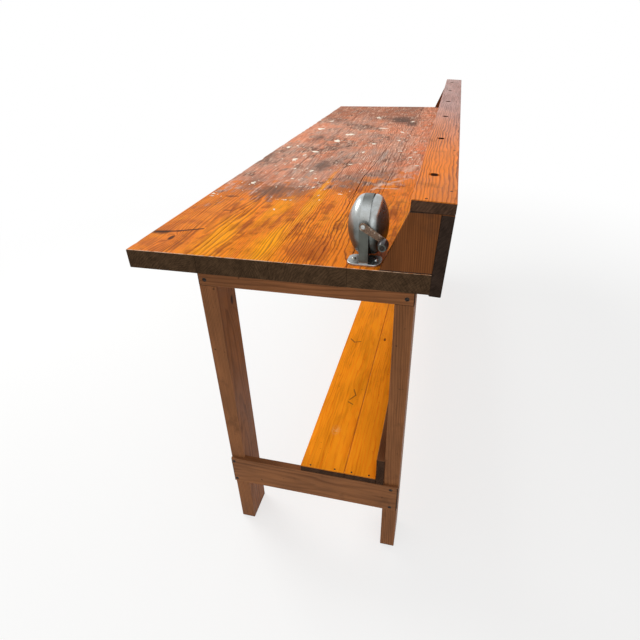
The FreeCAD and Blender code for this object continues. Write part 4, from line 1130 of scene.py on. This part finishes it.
class WORKBENCH_OT_frame(Operator):
    """Dress the legs, rails, stretchers, aprons and battens"""

    bl_idname = "workbench.frame"
    bl_label = "Frame"

    def execute(self, context):
        look = context.scene.workbench_frame
        finish = Finish(look.early, look.late, look.end, look.worn)
        for index, node in enumerate(LEGS + END_RAILS + STRETCHERS + APRONS + BATTENS):
            grain = Grain(
                pith=(0.02 - 0.013 * (index % 4), -0.075 - 0.012 * (index % 3)),
                drift=(0.010, 0.012 + 0.008 * (index % 3)),
                ring=0.0036 + 0.0005 * (index % 3),
                ripple=0.7,
                knots=FRAME_KNOTS.get(node, []),
            )
            dress(plain_wood(node, finish, grain, index + 11), node)
        return {"FINISHED"}


class WORKBENCH_OT_lower_shelf(Operator):
    """Dress the lower shelf and the rail behind it"""

    bl_idname = "workbench.lower_shelf"
    bl_label = "Lower shelf"

    def execute(self, context):
        look = context.scene.workbench_frame
        finish = Finish(
            look.shelf_early, look.shelf_late, look.end, look.worn,
            rough=0.38, coat=0.05, contrast=0.62, edge=0.2, dents=0.5, grime=0.03,
        )

        def rubbed_and_penned(board, colour):
            paint = board.paint
            ragged = paint.noise(board.flat, 80.0, 4.0, 0.62)
            pale = spot(board, *SHELF_PALE, ragged) * paint.rise(ragged, 0.40, 0.60)
            colour = paint.mix(pale * 0.7, colour, look.shelf_pale)
            return marked(board, colour, look.end, stroke, SHELF_MARKS)

        for index, node in enumerate(SHELF_BOARDS):
            grain = Grain(pith=(0.055, -0.06), ring=0.0055, drift=(0.01, 0.012), ripple_run=0.2, thin=0.45)
            grain.knots = [(-0.35 - 0.22 * index, 0.018, 0.007), (-0.72 + 0.95 * index, -0.022, 0.005)]
            dress(plain_wood(node, finish, grain, index + 31, rubbed_and_penned), node)
        rail = Finish(look.rail_early, look.late, look.end, look.worn)
        dress(plain_wood("rear_lower_rail", rail, Grain(), 35), "rear_lower_rail")
        return {"FINISHED"}


class WORKBENCH_OT_back(Operator):
    """Dress the leaning back board, its tool shelf and the gussets"""

    bl_idname = "workbench.back"
    bl_label = "Back and tool shelf"

    def execute(self, context):
        look = context.scene.workbench_frame
        back = Finish(
            look.back_early, look.back_late, look.back_end, look.worn,
            rough=0.5, coat=0.03, contrast=0.60, edge=0.12, dents=0.2,
        )
        for index, node in enumerate(["back_board"] + GUSSETS):
            grain = Grain(pith=(0.10, -0.06), drift=(0.04, 0.02), ring=0.0026, ripple=0.8, ripple_run=0.16)
            dress(plain_wood(node, back, grain, index + 41), node)
        shelf = Finish(
            look.tool_early, look.tool_late, look.tool_end, look.worn,
            rough=0.45, coat=0.06, contrast=0.95, edge=0.2, dents=0.4,
        )
        grain = Grain(pith=(0.075, -0.030), drift=(0.010, 0.008), ring=0.0052, wander=0.010,
                      ripple=1.0, ripple_run=0.22, thin=0.40)

        def faded(board, colour):
            paint = board.paint
            away = board.away + (board.tone - 0.5) * 0.25
            pale = paint.mix(board.late * 0.7, look.tool_faded, look.tool_faded_late)
            streaks = board.streak * 0.34 + board.fibre * 0.26
            pale = paint.shade(pale, 0.66 + streaks)
            return paint.mix(paint.rise(away, 0.22, 1.1) * 0.92, colour, pale)

        dress(plain_wood("tool_shelf", shelf, grain, 47, faded), "tool_shelf")
        return {"FINISHED"}


class WORKBENCH_OT_fasteners(Operator):
    """Dress the screws and nails of the frame"""

    bl_idname = "workbench.fasteners"
    bl_label = "Screws and nails"

    def execute(self, context):
        dress(dark_steel("dark_screw_steel", context.scene.workbench_sharpener), *DARK_SCREWS)
        return {"FINISHED"}


class WORKBENCH_OT_sharpener(Operator):
    """Dress the pencil sharpener"""

    bl_idname = "workbench.sharpener"
    bl_label = "Pencil sharpener"

    def execute(self, context):
        look = context.scene.workbench_sharpener
        # The casting gets a painted highlight on its hoop's top and on its base plate, from handled
        dress(
            plated("casting", look, look.casting, look.casting_dull, look.casting_rough, painted_highlight=handled),
            *CAST_PARTS,
        )
        # The shells get a painted highlight on their upper half
        dress(
            plated("shell_plate", look, look.nickel, look.nickel_dull, look.nickel_rough, 0.03, painted_shell_highlight),
            *SHELLS,
        )
        dress(plated("bright_plate", look, look.bright, look.bright_dull, 0.24), *BRIGHT_PARTS)
        dress(rusted("stained_arm", look), "crank_arm")
        dress(dark_steel("pin_steel", look), "knob_pin")
        dress(knob_lacquer("knob_lacquer", look), "crank_knob")
        dress(plain_metal("bush_brass", look.brass, 0.35), "crank_bush")
        dress(plain_metal("cutter_steel", look.tool_steel, 0.4), *GEARING)
        return {"FINISHED"}


# Stage

# Lamps: place, the place they point at, and diameter, in metres
LAMPS = {
    "key": ((-0.5, -2.3, 2.9), (0.0, 0.0, 0.7), 1.9),
    "fill": ((2.6, 0.6, 1.6), (0.4, 0.0, 0.6), 1.6),
}
# How far from the bench's middle the floor starts to turn white, and where it is
FLOOR_FADE = (1.2, 3.2)
FLOOR_RINGS = (0.001, 0.1, 0.3, 1.0)
# Camera: width of its sensor in millimetres, and the nearest and furthest that it sees in metres
SENSOR_WIDTH = 36.0
NEAREST = 0.05
FURTHEST = 100.0


def floor_material(look):
    """Pale floor that keeps the bench's shadow, and runs to plain white far from the bench."""
    paint = Paint.named("studio_floor")
    x, y, _ = paint.place()
    far = paint.rise(paint.math("SQRT", x * x + y * y), *FLOOR_FADE)
    pale = paint.add("BsdfDiffuse", values={"Color": rgba(look.floor)})
    white = paint.add("Emission", values={"Color": WHITE, "Strength": 1.0})
    share = paint.looked_at() * (0.70 + far * 0.30)
    mixed = paint.add("MixShader", values={0: share, 1: pale, 2: white})
    paint.add("OutputMaterial", values={"Surface": mixed})
    return paint.owner


def stage_floor(look):
    """Flat disc at height zero: rings of points round the origin, at shares of the floor's radius."""
    turns = np.linspace(0, 2 * math.pi, FLOOR_STEPS, endpoint=False)
    radii = look.floor_radius * np.array(FLOOR_RINGS)
    rings = radii[::-1, None] * np.exp(1j * turns)[None, :]
    points = np.stack([rings.real, rings.imag, np.zeros_like(rings.real)], axis=-1)
    faces = tube_faces(*rings.shape)
    floor = add_mesh("studio_floor", points, faces[:-2] + faces[-1:], floor_material(look))


def add_lamp(name, place, target, size, power):
    lamp = bpy.data.lights.new(name, "AREA")
    lamp.shape = "DISK"
    lamp.size = size
    lamp.energy = power
    holder = bpy.data.objects.new(name, lamp)
    holder.location = place
    holder.rotation_mode = "QUATERNION"
    holder.rotation_quaternion = (Vector(target) - Vector(place)).to_track_quat("-Z", "Y")
    bpy.context.scene.collection.objects.link(holder)


class WORKBENCH_OT_stage(Operator):
    """Set up the floor, the soft light and the camera at the photograph's view"""

    bl_idname = "workbench.stage"
    bl_label = "Stage"

    def execute(self, context):
        look = context.scene.workbench_stage
        stage_floor(look)
        self.light(context, look)
        self.camera(context, look)
        return {"FINISHED"}

    def light(self, context, look):
        """Even white sky, seen as plain white, and two soft lamps."""
        context.scene.world = bpy.data.worlds.new("studio_world")
        sky = Paint(context.scene.world)
        even = sky.add("Background", values={"Color": WHITE, "Strength": look.world})
        white = sky.add("Background", values={"Color": WHITE})
        mixed = sky.add("MixShader", values={0: sky.looked_at(), 1: even, 2: white})
        sky.add("OutputWorld", values={"Surface": mixed})
        for name, lamp in LAMPS.items():
            add_lamp(f"{name}_lamp", *lamp, getattr(look, name))

    def camera(self, context, look):
        """Camera from its place, its direction over the bench and its roll."""
        level = Vector((-math.sin(look.azimuth), math.cos(look.azimuth), 0))
        forward = level * math.cos(look.elevation) - Vector((0, 0, math.sin(look.elevation)))
        right = Vector((math.cos(look.azimuth), math.sin(look.azimuth), 0))
        up = right.cross(forward)
        rolled_right = right * math.cos(look.roll) - up * math.sin(look.roll)
        rolled_up = rolled_right.cross(forward)
        data = bpy.data.cameras.new("photo_camera")
        data.sensor_width = SENSOR_WIDTH
        data.lens = look.focal_share * SENSOR_WIDTH
        data.shift_x = -look.centre_right
        data.shift_y = look.centre_down
        data.clip_start = NEAREST
        data.clip_end = FURTHEST
        camera = bpy.data.objects.new("photo_camera", data)
        turn = Matrix((rolled_right, rolled_up, -forward)).transposed()
        camera.matrix_world = Matrix.Translation(Vector(look.eye)) @ turn.to_4x4()
        context.scene.collection.objects.link(camera)
        context.scene.camera = camera
        context.scene.view_settings.view_transform = "Standard"


OPERATORS = (
    WORKBENCH_OT_top,
    WORKBENCH_OT_drops,
    WORKBENCH_OT_frame,
    WORKBENCH_OT_lower_shelf,
    WORKBENCH_OT_back,
    WORKBENCH_OT_fasteners,
    WORKBENCH_OT_sharpener,
    WORKBENCH_OT_stage,
)
LOOKS = {
    "workbench_top": TopLook,
    "workbench_frame": FrameLook,
    "workbench_sharpener": SharpenerLook,
    "workbench_stage": StageLook,
}


class WORKBENCH_PT_pieces(Panel):
    """List of the pieces, in the order in which they are made"""

    bl_idname = "WORKBENCH_PT_pieces"
    bl_label = "Workbench"
    bl_space_type = "VIEW_3D"
    bl_region_type = "UI"
    bl_category = "Workbench"

    def draw(self, context):
        for operator in OPERATORS:
            self.layout.operator(operator.bl_idname)


def register():
    for look in LOOKS.values():
        bpy.utils.register_class(look)
    for name, look in LOOKS.items():
        setattr(bpy.types.Scene, name, PointerProperty(type=look))
    for made in (*OPERATORS, WORKBENCH_PT_pieces):
        bpy.utils.register_class(made)


def unregister():
    for made in (WORKBENCH_PT_pieces, *reversed(OPERATORS)):
        bpy.utils.unregister_class(made)
    for name in LOOKS:
        delattr(bpy.types.Scene, name)
    for look in LOOKS.values():
        bpy.utils.unregister_class(look)


def main():
    register()
    for operator in OPERATORS:
        group, name = operator.bl_idname.split(".")
        getattr(getattr(bpy.ops, group), name)()


if __name__ == "__main__":
    main()
